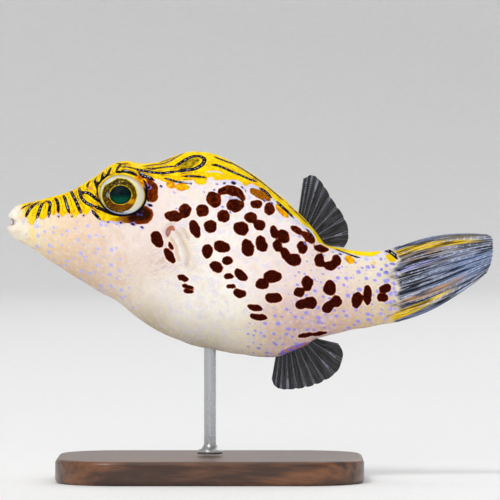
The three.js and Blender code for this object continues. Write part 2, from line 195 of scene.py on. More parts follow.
# Spots drawn out into arcs: half widths along a line of (x, z) points.
SPOT_ARCS = [
    ([(-4.4, 43.35), (-3.2, 43.5), (-1.95, 43.2), (-1.05, 42.4)], [0.5, 0.75, 0.7, 0.5]),
]
# Tiny dark specks between them: x, z, length, tilt.
SPECKS = [
    (-4.9, 44.4, 0.35, 0), (-3.8, 44.55, 0.55, 10), (-2.45, 44.55, 0.8, -18),
    (-1.2, 43.95, 0.45, -35), (-0.7, 43.4, 0.4, -45), (-5.35, 43.6, 0.35, -40),
    (-6.8, 43.2, 0.28, 0), (-13.25, 44.1, 0.5, -50), (-11.2, 43.2, 0.25, 0),
    (-8.85, 44.5, 0.5, -10), (-11.0, 40.75, 0.3, 0), (-4.1, 41.05, 0.35, -20),
    (-2.95, 42.4, 0.4, -10), (0.0, 42.4, 0.3, -30), (-2.95, 40.25, 0.4, -35),
    (2.1, 41.9, 0.45, -35), (3.3, 41.55, 0.45, -30), (5.8, 37.2, 0.25, 0),
    (7.4, 36.6, 0.3, 0), (8.2, 35.6, 0.3, -20), (12.4, 34.2, 0.28, 0), (13.5, 33.9, 0.45, -10),
    (11.1, 33.75, 0.2, 0), (11.9, 27.35, 0.25, 0), (-14.85, 41.25, 0.75, -15),
    (-28.6, 39.55, 0.4, -40), (-26.55, 39.6, 0.4, 40), (-24.85, 39.7, 0.4, 40),
    (-21.15, 38.75, 0.4, 10), (-19.25, 38.65, 0.5, 0), (-17.45, 38.45, 0.65, -10),
    (-16.1, 38.0, 0.5, -15), (-30.05, 39.45, 0.3, 0), (-15.1, 43.9, 0.6, 0),
    (-15.5, 44.15, 0.6, 70), (-12.7, 35.25, 0.24, 0),
]
# Golden and orange blotches near the saddle: x, z, length, height, tilt.
GOLDEN_BLOTCHES = [
    (1.5, 42.85, 3.6, 1.35, -27), (4.8, 40.4, 2.8, 1.1, -45), (14.9, 33.1, 1.7, 1.05, -30),
    (-10.05, 44.0, 2.2, 1.3, -5), (-11.8, 44.4, 1.3, 1.3, -30), (18.5, 32.6, 1.0, 0.75, 10),
    (21.15, 33.4, 1.95, 1.3, -25),
]
# Blue dots that stand apart from the others: x, z, length, height, tilt.
BLUE_DOTS = [
    (-16.7, 39.9, 0.35, 0.4, 0), (-16.15, 39.85, 0.3, 0.35, 0), (-15.95, 40.35, 0.3, 0.2, 20),
    (-15.5, 42.55, 0.3, 0.6, -10), (-15.25, 41.4, 0.4, 0.4, 0), (-19.8, 38.5, 0.5, 0.25, 15),
    (-18.9, 38.65, 0.35, 0.35, 0), (-17.2, 38.35, 0.45, 0.55, 0), (-15.9, 37.9, 0.4, 0.25, -20),
    (19.6, 33.15, 0.5, 0.4, -40), (21.4, 32.4, 0.9, 0.25, -10), (21.9, 31.0, 0.5, 0.35, -35),
    (20.45, 30.0, 1.0, 0.5, 5), (21.5, 29.6, 0.6, 0.4, 15), (21.0, 28.0, 0.8, 0.7, 0),
    (21.55, 28.75, 0.45, 0.55, 0), (21.0, 26.65, 0.65, 0.55, 0), (21.1, 25.65, 0.65, 0.5, 20),
    (22.2, 25.7, 0.45, 0.3, 30), (20.4, 24.25, 0.9, 0.3, 12), (19.6, 24.95, 0.6, 0.45, 0),
    (20.5, 31.15, 0.5, 0.35, -30), (19.65, 31.6, 0.4, 0.4, 0), (18.5, 31.9, 0.45, 0.3, 20),
    (22.0, 27.8, 0.7, 0.25, 15),
]
# The brown bands round the rear of the eye: half widths along a line of (x, z) points.
EYE_BANDS = [
    ([(-16.7, 45.4), (-15.7, 44.8), (-14.85, 43.7), (-14.65, 42.55)], [0.35, 0.85, 1.15, 0.9]),
    ([(-20.6, 39.2), (-18.6, 39.15), (-16.9, 39.55), (-15.7, 39.85)], [0.2, 0.45, 1.05, 1.35]),
]
# The lower edge of the yellow saddle, as (x, z) pairs.
SADDLE_EDGE = [
    (-36.5, 43.0), (-35.5, 41.1), (-34.9, 40.2), (-34.5, 39.4), (-34.1, 39.4), (-33.6, 39.6),
    (-33.2, 38.8), (-32.6, 38.3), (-32.1, 38.9), (-31.8, 39.6), (-31.3, 39.2), (-30.8, 39.05),
    (-30.3, 39.6), (-30.0, 40.0), (-29.4, 39.7), (-28.7, 40.2), (-28.0, 39.6), (-27.2, 40.0),
    (-26.2, 39.5), (-25.2, 40.1), (-24.3, 39.8), (-23.7, 40.6), (-23.3, 40.1),
    (-22.7, 39.4), (-22.1, 39.0), (-21.2, 38.8), (-20.8, 39.0), (-20.3, 38.8), (-19.4, 38.75),
    (-18.4, 38.7), (-17.6, 40.5), (-16.8, 44.5), (-16.0, 45.5), (-15.0, 45.35),
    (-13.5, 45.15), (-12.6, 44.6), (-12.0, 44.5), (-11.2, 44.85), (-8.6, 44.95), (-8.1, 44.5),
    (-7.3, 44.3), (-6.6, 44.5), (-6.3, 45.3), (-5.7, 45.45), (-5.0, 45.0), (-3.5, 45.05),
    (-2.3, 45.1), (-1.5, 44.7), (-0.8, 44.25), (-0.2, 44.4), (0.6, 44.3), (1.9, 43.6),
    (3.3, 42.4), (3.9, 41.9), (5.3, 40.8), (6.3, 39.8), (7.5, 38.75), (8.8, 37.85),
    (9.6, 36.95), (10.1, 35.7), (12.0, 34.85), (14.0, 34.2), (16.2, 33.75), (17.8, 33.55),
    (19.3, 33.85), (20.2, 34.6), (22.6, 36.5),
]
# Dark lines of the saddle and the snout: half width, then (x, z) points.
LINE_FINE = 0.2
LINE = 0.27
LINE_BOLD = 0.34
DARK_LINES = [
    (LINE_FINE, [(-32.9, 41.45), (-33.35, 41.2), (-33.8, 41.0), (-34.15, 40.7)]),
    (LINE, [(-31.6, 41.75), (-32.3, 41.3), (-32.8, 40.8), (-33.15, 40.35), (-33.55, 39.5)]),
    (LINE, [(-30.8, 41.65), (-31.15, 41.35), (-31.4, 40.75), (-31.6, 40.1), (-31.9, 39.2)]),
    (LINE, [(-30.5, 41.85), (-30.05, 41.7), (-29.9, 41.3), (-30.0, 40.6), (-30.05, 39.5)]),
    (LINE, [(-29.2, 42.3), (-28.9, 41.9), (-28.7, 41.25), (-28.65, 40.1)]),
    (LINE, [(-27.95, 42.7), (-27.6, 42.0), (-27.35, 41.1), (-26.95, 40.1)]),
    (LINE, [(-26.8, 43.3), (-26.5, 42.7), (-26.05, 41.9), (-25.55, 40.8), (-25.2, 40.1)]),
    (LINE, [(-25.6, 43.8), (-25.3, 42.6), (-24.7, 41.8), (-23.85, 41.3), (-23.2, 41.1)]),
    (LINE_BOLD, [(-23.2, 41.1), (-22.2, 40.7), (-21.05, 40.2), (-19.7, 39.85), (-18.4, 39.9),
                 (-17.2, 40.2), (-16.35, 40.9)]),
    (LINE, [(-25.5, 43.4), (-25.1, 43.15), (-24.3, 43.1), (-23.6, 42.7), (-23.0, 42.2),
            (-22.4, 41.75)]),
    (LINE_FINE, [(-16.0, 45.1), (-15.65, 44.6), (-15.45, 43.9), (-15.38, 43.2), (-15.35, 42.5),
                 (-15.1, 41.7)]),
    (LINE, [(-24.05, 44.75), (-24.3, 44.3), (-24.25, 43.9)]),
    (LINE, [(-22.95, 45.4), (-23.2, 45.0), (-23.05, 44.5), (-22.8, 43.8), (-22.75, 43.05),
            (-22.6, 42.5)]),
    (LINE, [(-22.0, 46.15), (-22.1, 45.6), (-22.15, 45.0), (-22.5, 44.5), (-22.8, 44.1)]),
    (LINE, [(-20.85, 46.85), (-21.05, 46.3), (-21.3, 45.75), (-21.65, 45.35), (-22.2, 44.85)]),
    (LINE_FINE, [(-21.25, 45.7), (-20.8, 45.75), (-20.3, 45.95)]),
    (LINE, [(-23.6, 40.5), (-22.9, 39.7), (-22.3, 39.1)]),
    (LINE, [(-19.4, 47.4), (-19.75, 46.8), (-20.0, 46.4)]),
    (LINE_BOLD, [(-20.0, 46.35), (-19.5, 46.1), (-18.75, 46.25), (-17.7, 46.0), (-16.9, 45.75)]),
    (LINE_BOLD, [(-16.6, 46.2), (-15.9, 45.65), (-15.2, 45.45), (-14.3, 44.95)]),
    (LINE_FINE, [(-19.9, 47.5), (-19.2, 47.4), (-18.3, 47.45)]),
    (LINE_FINE, [(-19.2, 46.95), (-18.3, 46.95), (-17.4, 46.75)]),
    (LINE_FINE, [(-15.5, 46.75), (-14.7, 46.7), (-13.4, 46.85), (-12.3, 47.0), (-11.2, 47.05)]),
    (LINE_FINE, [(-15.9, 47.05), (-14.6, 47.25), (-13.05, 47.45), (-12.2, 47.75),
                 (-11.5, 48.1), (-10.9, 48.5), (-10.0, 49.0)]),
    (LINE_FINE, [(-13.3, 47.85), (-12.4, 48.2), (-11.7, 48.5)]),
    (LINE_BOLD, [(-11.2, 47.05), (-10.5, 47.5), (-9.65, 48.05), (-8.8, 48.45), (-7.9, 48.6),
                 (-7.1, 48.4), (-6.8, 48.0), (-7.05, 47.4), (-7.7, 46.95), (-8.4, 46.65),
                 (-9.6, 46.5), (-10.9, 46.3)]),
    (LINE, [(-10.9, 46.3), (-12.1, 46.15), (-13.1, 46.05), (-14.0, 46.1), (-15.0, 46.2),
            (-16.3, 46.5), (-17.4, 46.7)]),
    (LINE_FINE, [(-12.8, 45.3), (-11.85, 45.05), (-10.9, 44.75), (-9.75, 44.65), (-8.9, 44.55)]),
    (LINE_FINE, [(-10.0, 45.55), (-8.8, 45.6), (-7.5, 45.5), (-6.6, 45.4)]),
    (LINE, [(-5.7, 47.25), (-4.95, 47.2), (-4.0, 46.85), (-2.55, 46.2), (-1.1, 45.6),
            (0.0, 45.1), (0.95, 44.8)]),
    (LINE, [(-5.35, 48.5), (-4.5, 48.15), (-3.5, 47.75), (-2.9, 47.5)]),
    (LINE, [(-2.95, 47.7), (-2.1, 47.2), (-1.1, 46.65), (0.6, 45.5), (2.3, 44.25),
                 (3.9, 42.9), (4.9, 42.05)]),
    (LINE_FINE, [(5.9, 41.1), (6.5, 40.55), (7.1, 40.0), (8.6, 38.5)]),
    (LINE_BOLD, [(1.4, 43.8), (2.3, 43.3), (3.2, 42.35)]),
    (LINE_BOLD, [(4.0, 41.75), (5.0, 40.85), (5.9, 40.0), (6.5, 39.35)]),
    (LINE, [(8.3, 37.75), (9.0, 37.1), (9.6, 36.3)]),
    (LINE_FINE, [(12.8, 34.65), (14.5, 34.0), (15.9, 33.5), (16.5, 33.4)]),
    (LINE_BOLD, [(20.3, 34.6), (21.0, 34.25), (21.6, 33.8), (22.1, 33.4), (22.6, 33.2)]),
]
# Pale lavender lines: the tails of the snout's lines, and the grey ones in the saddle. The thin
# short ones that start at (-18.9, 46.4), (-16.4, 46.15) and (-15.4, 45.65), just above the bold
# lines behind the eye, are painted highlights along those lines.
PALE_LINES_AND_HIGHLIGHTS = [
    (0.24, [(-33.6, 39.35), (-33.85, 38.8), (-33.95, 38.35)]),
    (0.22, [(-31.85, 39.2), (-31.95, 38.7), (-32.2, 38.0), (-32.1, 37.5)]),
    (0.11, [(-18.9, 46.4), (-18.4, 46.42), (-18.0, 46.32)]),
    (0.12, [(-16.4, 46.15), (-15.8, 45.85)]),
    (0.12, [(-15.4, 45.65), (-14.8, 45.4)]),
    (0.12, [(-17.2, 47.05), (-16.3, 47.25)]),
    (0.2, [(-34.2, 40.6), (-34.5, 40.2), (-34.7, 39.9)]),
    (0.17, [(-6.6, 46.2), (-5.6, 46.3), (-4.6, 46.2), (-4.0, 45.8)]),
    (0.16, [(-10.2, 44.7), (-9.4, 44.7), (-8.8, 44.5)]),
    (0.2, [(0.0, 44.1), (0.7, 44.0), (1.4, 43.7)]),
    (0.2, [(6.6, 39.2), (7.6, 38.35), (8.4, 37.65)]),
    (0.18, [(-4.0, 42.75), (-2.9, 42.3), (-1.9, 42.3), (-1.3, 41.9)]),
]
# The violet band along the anal fin's base, and the pink comma at the gill opening.
ANAL_BAND = ([(4.3, 18.9), (5.4, 19.3), (6.6, 19.8), (7.9, 20.3), (8.9, 20.65)],
             [0.15, 0.42, 0.46, 0.34, 0.1])
COMMA = ([(-11.3, 37.65), (-11.6, 37.9), (-12.05, 37.55), (-12.25, 37.0), (-12.25, 36.5)],
         [0.22, 0.4, 0.42, 0.34, 0.1])
# The olive middle of the ring on the back: x, z, length, height, tilt.
OLIVE_RING = (-9.1, 47.45, 3.7, 1.5, 25)

# Colours of the unmarked skin, in sRGB, at (x, z) places on the flank. The dark ones at the
# belly's lower edge, at (-8.0, 20.3) and (-16.0, 23.2), are painted shade where the belly turns
# under, and the one at (-14.6, 34.2) is painted shade in front of the pectoral fin.
SKIN_TONES_AND_SHADE = [
    (-36.0, 39.8, (250, 246, 238)), (-35.6, 37.4, (250, 247, 240)), (-34.0, 36.2, (232, 218, 178)),
    (-33.2, 38.4, (246, 234, 208)), (-31.0, 36.5, (244, 222, 184)), (-28.0, 38.0, (242, 214, 180)),
    (-29.0, 33.5, (222, 194, 152)), (-25.0, 36.0, (234, 206, 184)), (-25.0, 31.5, (216, 190, 166)),
    (-21.0, 36.5, (240, 220, 206)), (-20.0, 30.0, (226, 206, 186)), (-16.5, 36.5, (244, 232, 226)),
    (-14.0, 41.5, (240, 222, 214)), (-16.5, 27.0, (240, 230, 216)), (-12.0, 29.0, (244, 236, 226)),
    (-8.0, 24.0, (255, 253, 244)), (-8.0, 20.3, (164, 150, 104)), (-16.0, 23.2, (186, 170, 128)),
    (-14.6, 34.2, (220, 198, 186)), (-10.0, 42.0, (242, 230, 222)), (-4.0, 27.0, (250, 245, 236)),
    (-6.0, 36.5, (250, 244, 236)), (0.0, 43.0, (244, 236, 238)), (-2.0, 21.0, (240, 232, 206)),
    (0.5, 32.5, (246, 234, 228)), (5.0, 38.5, (246, 236, 234)), (5.5, 31.0, (242, 224, 218)),
    (4.5, 22.0, (220, 190, 164)), (8.0, 24.5, (218, 178, 166)), (8.0, 31.5, (238, 216, 208)),
    (11.0, 24.0, (216, 176, 158)), (13.5, 30.5, (238, 218, 208)), (14.5, 24.5, (222, 188, 158)),
    (17.0, 31.5, (242, 230, 208)), (18.0, 25.0, (224, 198, 156)), (21.0, 30.0, (232, 222, 200)),
    (17.0, 33.6, (236, 226, 200)), (19.0, 23.4, (206, 184, 134)),
]
TONE_SPREAD = 2.6
DOT_LEVEL = [(-36.5, 38.6), (-10.0, 33.5), (22.6, 28.5)]  # the line that dots are laid out from
# Lavender dots: the number of their part of the fish in dot_shares, the scale and the stretch of
# their net, their size and how much it varies, in cells of the net, their colour and its strength.
DOT_LAYERS = [
    (0, 0.64, 1.0, 0.24, 0.09, (188, 186, 250), 0.85),
    (0, 0.95, 1.0, 0.2, 0.18, (206, 204, 248), 0.8),
    (1, 1.1, 1.0, 0.14, 0.2, (194, 184, 240), 0.6),
    (2, 0.78, 0.85, 0.3, 0.14, (160, 150, 242), 0.9),
    (2, 1.2, 0.9, 0.2, 0.18, (176, 168, 242), 0.8),
]
DOT_SCATTER = 0.85
DOT_SOFTNESS = 0.08
RIGHT_NET_SHIFT = 60.0  # moves the net on the right flank, so that its dots aren't the left's
LINE_REACH = 0.8  # how far from a dark or pale line its distance is known
LINE_TIP = {"share": 0.45, "length": 0.5}  # how thin a line starts and ends, and over what length
SPOT_REACH = (0.1, 0.28)  # how far apart front and rear spots may be and still run together
JITTER = {"shift": 0.3, "size": 0.12, "turn": 14}  # of the right flank's spots

# ---------------------------------------------------------------- small tools


def smooth(pairs):
    """The cubic curve through (x, value) pairs that part.mjs uses, with slopes from neighbours."""
    at, value = np.array(pairs, float).T
    last = len(at) - 1
    before = np.maximum(np.arange(len(at)) - 1, 0)
    after = np.minimum(np.arange(len(at)) + 1, last)
    slope = (value[after] - value[before]) / (at[after] - at[before])

    def curve(x):
        i = np.clip(np.searchsorted(at, x, side="right") - 1, 0, last - 1)
        span = at[i + 1] - at[i]
        t = np.clip((x - at[i]) / span, 0, 1)
        s = 1 - t
        start = value[i] * (1 + 2 * t) * s * s + slope[i] * span * t * s * s
        end = value[i + 1] * (3 - 2 * t) * t * t - slope[i + 1] * span * t * t * s
        return start + end

    return curve


def smoothstep(low, high, x):
    t = np.clip((x - low) / (high - low), 0, 1)
    return t * t * (3 - 2 * t)


def bump(distance, width):
    """A bell of height 1 that falls off over the width."""
    return np.exp(-((distance / width) ** 2))


def mix(a, b, share):
    return a + (b - a) * share


def unit(vectors):
    """The same vectors at length 1, along the last axis."""
    return vectors / np.maximum(np.linalg.norm(vectors, axis=-1, keepdims=True), 1e-9)


def rounded(points, steps=6):
    """A line's points with rounded corners: a Catmull-Rom curve through them."""
    p = np.array(points, float)
    if len(p) < 3:
        share = np.linspace(0, 1, steps + 1)[:, None]
        return mix(p[0], p[-1], share)
    ends = np.vstack([2 * p[0] - p[1], p, 2 * p[-1] - p[-2]])
    t = np.linspace(0, 1, steps, endpoint=False)[:, None]
    out = []
    for a, b, c, d in zip(ends, ends[1:], ends[2:], ends[3:]):
        bend, twist = 2 * a - 5 * b + 4 * c - d, 3 * b - a - 3 * c + d
        out.append(0.5 * (2 * b + (c - a) * t + bend * t**2 + twist * t**3))
    return np.vstack(out + [p[-1:]])


def line_distance(points, line):
    """For each point, its nearest place on a line: distance, length along it, and the place."""
    nearest = np.full(len(points), np.inf)
    along = np.zeros(len(points))
    place = np.array(points)
    lengths = np.linalg.norm(np.diff(line, axis=0), axis=1)
    starts = np.concatenate([[0], np.cumsum(lengths)])
    for a, b, length, start in zip(line, line[1:], lengths, starts):
        leg = b - a
        share = np.clip(((points - a) @ leg) / max(length**2, 1e-9), 0, 1)
        foot = a + share[:, None] * leg
        distance = np.linalg.norm(points - foot, axis=1)
        closer = distance < nearest
        nearest[closer] = distance[closer]
        along[closer] = (start + share * length)[closer]
        place[closer] = foot[closer]
    return nearest, along, place, starts[-1]


def ellipse_distance(x, z, ellipse):
    """Signed distance to an ellipse given as x, z, length, height, tilt; negative inside."""
    cx, cz, length, height, tilt = ellipse
    c, s = math.cos(math.radians(tilt)), math.sin(math.radians(tilt))
    a = (x - cx) * c + (z - cz) * s
    b = (z - cz) * c - (x - cx) * s
    ra, rb = length / 2, height / 2
    near = np.hypot(a / ra, b / rb)
    slope = np.hypot(a / ra**2, b / rb**2)
    return np.where(slope > 1e-6, near * (near - 1) / np.maximum(slope, 1e-6), -min(ra, rb))


def band_distance(x, z, points, half_widths):
    """Signed distance to a band whose half width changes along a line of (x, z) points."""
    flat = np.column_stack([x, z])
    nearest, along, _, total = line_distance(flat, rounded(points))
    return nearest - np.interp(along / total, np.linspace(0, 1, len(half_widths)), half_widths)


def linear(rgb):
    """An sRGB colour, 0 to 255, as linear values."""
    c = np.array(rgb, float) / 255
    return np.where(c <= 0.04045, c / 12.92, ((c + 0.055) / 1.055) ** 2.4)


# ---------------------------------------------------------------- meshes


def add_mesh(name, points, faces):
    """A smooth-shaded mesh object from points in mm."""
    mesh = bpy.data.meshes.new(name)
    mesh.from_pydata((np.asarray(points) * MM).tolist(), [], faces)
    mesh.update()
    mesh.polygons.foreach_set("use_smooth", [True] * len(mesh.polygons))
    piece = bpy.data.objects.new(name, mesh)
    bpy.context.scene.collection.objects.link(piece)
    return piece


def add_attribute(piece, name, *columns):
    """A number or a vector for each point of a mesh, which its material reads."""
    values = np.column_stack(columns).astype(np.float32)
    kind, field = ("FLOAT", "value") if values.shape[1] == 1 else ("FLOAT_VECTOR", "vector")
    layer = piece.data.attributes.new(name, kind, "POINT")
    layer.data.foreach_set(field, values.ravel())


def add_bake_map(piece, face_uvs):
    """The UV map that textures are baked into, given for each corner of each face."""
    layer = piece.data.uv_layers.new(name="OFBake")
    layer.data.foreach_set("uv", np.asarray(face_uvs, np.float32).ravel())


def dress(piece, material, nodes):
    """Gives a piece its material and its place in the frame."""
    piece.data.materials.clear()
    piece.data.materials.append(material)
    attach(piece, "root")
    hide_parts(*nodes)
    return piece


def ring_quads(rings, sides):
    """The quads between rings of points, each as four (ring, column) corners."""
    return [
        ((i, j), (i, j + 1), (i + 1, j + 1), (i + 1, j))
        for i in range(rings - 1)
        for j in range(sides)
    ]


def wrapped(name, rings, poles):
    """A closed mesh over rings of points with a pole at each end, and a map of its corners."""
    count, sides = rings.shape[:2]
    corners = ring_quads(count, sides)
    corners += [((-1, j), (0, j + 1), (0, j)) for j in range(sides)]
    corners += [((count, j), (count - 1, j), (count - 1, j + 1)) for j in range(sides)]
    pole_numbers = {-1: count * sides, count: count * sides + 1}
    faces = [[pole_numbers.get(i, i * sides + j % sides) for i, j in face] for face in corners]
    shares = [((i + 1) / (count + 1), j / sides) for face in corners for i, j in face]
    points = np.vstack([rings.reshape(-1, 3), poles])
    return add_mesh(name, points, faces), points, shares


def stacked(name, rings, closed_below=True):
    """A mesh over rings of points, from the bottom up, with a flat top."""
    sides = len(rings[0])
    quads = ring_quads(len(rings), sides)
    faces = [[i * sides + j % sides for i, j in quad] for quad in quads]
    if closed_below:
        faces.append(list(range(sides))[::-1])
    top = (len(rings) - 1) * sides
    faces.append(list(range(top, top + sides)))
    piece = add_mesh(name, np.concatenate(rings), faces)
    piece.data.polygons[-1].use_smooth = False
    return piece


def turned(name, centre, profile, sides, closed_below=True):
    """A lathe-turned solid: (radius, z) pairs from the bottom to the top."""
    turn = np.linspace(0, 2 * math.pi, sides, endpoint=False)
    rings = [
        np.column_stack([
            centre[0] + radius * np.cos(turn), centre[1] + radius * np.sin(turn), z + 0 * turn,
        ])
        for radius, z in profile
    ]
    return stacked(name, rings, closed_below)


# ---------------------------------------------------------------- materials


class Value:
    """A number, vector or colour in a material. Arithmetic on it adds nodes."""

    def __init__(self, shader, socket):
        self.shader = shader
        self.socket = socket

    def __add__(self, other):
        return self.shader.math("ADD", self, other)

    def __sub__(self, other):
        return self.shader.math("SUBTRACT", self, other)

    def __rsub__(self, other):
        return self.shader.math("SUBTRACT", other, self)

    def __mul__(self, other):
        return self.shader.math("MULTIPLY", self, other)

    def __truediv__(self, other):
        return self.shader.math("DIVIDE", self, other)

    def rises(self, low, high):
        """0 below low and 1 above high, with a smooth step between."""
        return self.shader.ramp(self, low, high, 0.0, 1.0)

    def falls(self, low, high):
        """1 below low and 0 above high, with a smooth step between."""
        return self.shader.ramp(self, low, high, 1.0, 0.0)

    def within(self, low, high, soft):
        """1 between low and high, and 0 outside, over a soft edge."""
        return self.rises(low - soft, low + soft) * self.falls(high - soft, high + soft)


class Shader:
    """A node material in the making, with the colour and the relief it has so far."""

    def __init__(self, name):
        self.material = bpy.data.materials.new(name)
        self.material.use_nodes = True
        self.tree = self.material.node_tree
        self.tree.nodes.clear()
        self.colour = None
        self.normal = None

    def node(self, kind, inputs, output=0, **settings):
        """Adds a node and returns one of its outputs."""
        made = self.tree.nodes.new("ShaderNode" + kind)
        for key, value in settings.items():
            setattr(made, key, value)
        for key, value in inputs.items():
            if isinstance(value, Value):
                self.tree.links.new(value.socket, made.inputs[key])
            else:
                made.inputs[key].default_value = value
        return Value(self, made.outputs[output])

    def math(self, operation, a, b=0.0, clamp=False):
        return self.node("Math", {0: a, 1: b}, operation=operation, use_clamp=clamp)

    def either(self, a, b):
        """The greater of two masks."""
        return self.math("MAXIMUM", a, b)

    def ramp(self, value, low, high, start, end):
        inputs = {"Value": value, "From Min": low, "From Max": high, "To Min": start, "To Max": end}
        return self.node("MapRange", inputs, interpolation_type="SMOOTHSTEP")

    def mix(self, share, under, over):
        """One colour with another laid over it by the share. A triple is an sRGB colour."""
        colours = [(*linear(c), 1.0) if isinstance(c, tuple) else c for c in (under, over)]
        return self.node("Mix", {0: share, 6: colours[0], 7: colours[1]}, 2, data_type="RGBA")

    def paint(self, share, colour):
        """Lays a colour over what is painted so far, by the share."""
        self.colour = self.mix(share, self.colour, colour)

    def emboss(self, height, distance, strength):
        """Adds relief to what is embossed so far. The distance is in mm."""
        inputs = {"Height": height, "Distance": distance * MM, "Strength": strength}
        if self.normal is not None:
            inputs["Normal"] = self.normal
        self.normal = self.node("Bump", inputs)

    def attribute(self, name, output="Fac"):
        return self.node("Attribute", {}, output, attribute_name=name)

    def parts(self, vector):
        """A vector's three numbers."""
        outputs = self.node("SeparateXYZ", {0: vector}).socket.node.outputs
        return [Value(self, socket) for socket in outputs]

    def point(self, x, y):
        return self.node("CombineXYZ", {0: x, 1: y})

    def vector(self, operation, a, b, output=0):
        return self.node("VectorMath", {0: a, 1: b}, output, operation=operation)

    def scaled(self, vector, x, y, z):
        return self.vector("MULTIPLY", vector, (x, y, z))

    def distance(self, a, b):
        return self.vector("DISTANCE", a, b, "Value")

    def place_in_mm(self):
        """The shaded place in the CAD frame."""
        return self.scaled(self.node("TexCoord", {}, "Object"), 1 / MM, 1 / MM, 1 / MM)

    def noise(self, at, scale, detail, output="Fac"):
        return self.node("TexNoise", {"Vector": at, "Scale": scale, "Detail": detail}, output)

    def cells(self, at, scale, output="Distance", randomness=1.0, **settings):
        inputs = {"Vector": at, "Scale": scale, "Randomness": randomness}
        return self.node("TexVoronoi", inputs, output, **settings)

    def surface(self, **inputs):
        """The Principled shader, with underscores for the spaces in its sockets' names."""
        named = {key.replace("_", " "): value for key, value in inputs.items()}
        named["Base Color"] = self.colour
        if self.normal is not None:
            named["Normal"] = self.normal
        return self.finish(self.node("BsdfPrincipled", named))

    def finish(self, shader):
        out = self.tree.nodes.new("ShaderNodeOutputMaterial")
        self.tree.links.new(shader.socket, out.inputs["Surface"])
        return self.material


# ---------------------------------------------------------------- the skin's shape

back_line = smooth(BACK_LINE)
belly_line = smooth(BELLY_LINE)
half_width = smooth(HALF_WIDTH)
widest_at = smooth(WIDEST_AT)
back_squareness = smooth(BACK_SQUARENESS)
belly_squareness = smooth(BELLY_SQUARENESS)
EYE_AXIS = unit(np.array(EYE["axis"]))


def nose_fullness(x):
    share = np.clip((x - SNOUT_TIP_X) / NOSE_ROUNDING, 0, 1)
    return (1 - (1 - share) ** NOSE_ROUNDNESS) ** (1 / NOSE_ROUNDNESS)


def tail_taper(x):
    """How far the flesh of the tail has run out into the fin, from 0 to 1."""
    return smoothstep(TAIL_RUN_OUT["start"], FLESH_END_X, x)


def orbit_rise(x, z):
    distance = np.hypot(x - EYE["x"], z - EYE["z"]) / ORBIT["radius"]
    return ORBIT["rise"] / (1 + distance ** ORBIT["steepness"])


def left_flank(x, turn):
    """A point of the left flank at x. turn runs from 0 on the back to 1 under the belly."""
    full = nose_fullness(x)
    run_out = tail_taper(x)
    top, bottom = back_line(x), belly_line(x) + TAIL_RUN_OUT["rise"] * run_out
    level = bottom + (top - bottom) * widest_at(x)
    cosine, sine = np.cos(turn * math.pi), np.sin(turn * math.pi)
    upper = cosine > 0
    power = 2 / np.where(upper, back_squareness(x), belly_squareness(x))
    height = np.where(upper, top - level, level - bottom) * full
    z = level + height * np.sign(cosine) * np.abs(cosine) ** power
    width = half_width(x) * full * (1 - TAIL_RUN_OUT["width"] * run_out)
    width = width + orbit_rise(x, z) * full
    return np.stack([x + 0 * turn, -(np.abs(sine) ** power) * width, z], axis=-1)


def flank_grid():
    """The left half of the body as a grid of points, with equal steps round each section."""
    bend = np.arange(1, SKIN_NOSE_STATIONS + 1) / SKIN_NOSE_STATIONS * math.pi / 2
    nose = SNOUT_TIP_X + NOSE_ROUNDING * (1 - np.cos(bend))
    body = np.linspace(nose[-1], FLESH_END_X, SKIN_BODY_STATIONS + 1)[1:]
    x = np.concatenate([nose, body])
    fine = np.linspace(0, 1, SECTION_SAMPLES)
    sections = left_flank(x[:, None], fine[None, :])
    steps = np.linalg.norm(np.diff(sections, axis=1), axis=2)
    arcs = np.concatenate([np.zeros((len(x), 1)), np.cumsum(steps, axis=1)], axis=1)
    share = np.linspace(0, 1, SKIN_HALF_RING + 1)
    turns = np.array([np.interp(share * arc[-1], arc, fine) for arc in arcs])
    points = left_flank(x[:, None] + 0 * turns, turns)
    points[:, [0, -1], 1] = 0
    return points, share[None, :] * arcs[:, -1:]


def grid_normals(points):
    """Outward normals of the left half's grid."""
    normals = np.cross(np.gradient(points, axis=1), np.gradient(points, axis=0))
    normals[:, [0, -1], 1] = 0
    return unit(normals)


def flat_distance(points, line):
    """Distance to a line of (x, z) points in the side view."""
    flat = points[..., [0, 2]].reshape(-1, 2)
    return line_distance(flat, rounded(line))[0].reshape(points.shape[:-1])


def mouth_carving(x, z):
    """How deep the mouth's groove runs into the lips."""
    along = 1 - smoothstep(MOUTH["front"], MOUTH["corner"], x)
    half_height = np.where(z > MOUTH_Z, MOUTH["above"], MOUTH["below"])
    half_height = half_height * (1 - 0.5 * smoothstep(MOUTH["narrowing"], MOUTH["corner"], x))
    hollow = smoothstep(0, 1, MOUTH["roundness"] * (1 - np.abs(z - MOUTH_Z) / half_height))
    return MOUTH["depth"] * hollow * along


def lip_relief(x, z):
    """The rolls of the lips, and the crease behind the mouth's corner."""
    height = -mouth_carving(x, z)
    for roll_z, thickness, rise in LIP_ROLLS:
        height += rise * bump(z - roll_z, thickness) * (1 - smoothstep(-35.5, -34.5, x))
    behind = x - LIP_CREASE["x"] + LIP_CREASE["slope"] * (z - MOUTH_Z)
    crease = bump(behind, LIP_CREASE["width"]) * bump(z - MOUTH_Z, LIP_CREASE["half_height"])
    return height - LIP_CREASE["depth"] * crease


def soft_waves(x, y, z):
    """Slow swells of soft skin, about 3 to 6 mm apart."""
    return (
        0.5 * np.sin(1.15 * x + 0.55 * z + 0.3 * y)
        + 0.4 * np.sin(0.7 * x - 1.25 * z + 1.3)
        + 0.3 * np.sin(1.9 * x + 0.2 * z + 2.1)
        + 0.3 * np.sin(0.4 * x + 1.8 * z + 0.7 * y)
    )


def wrinkles(x, z):
    """Fine creases of the flank in front of the pectoral fin."""
    a, b = x - WRINKLES["x"], z - WRINKLES["z"]
    size = WRINKLES["size"]
    return WRINKLES["rise"] * np.sin(7.0 * b + 4.0 * a) * bump(a, size) * bump(b, size)


def nostril_distance(x, z):
    return np.hypot(x - NOSTRIL["x"], z - NOSTRIL["z"])


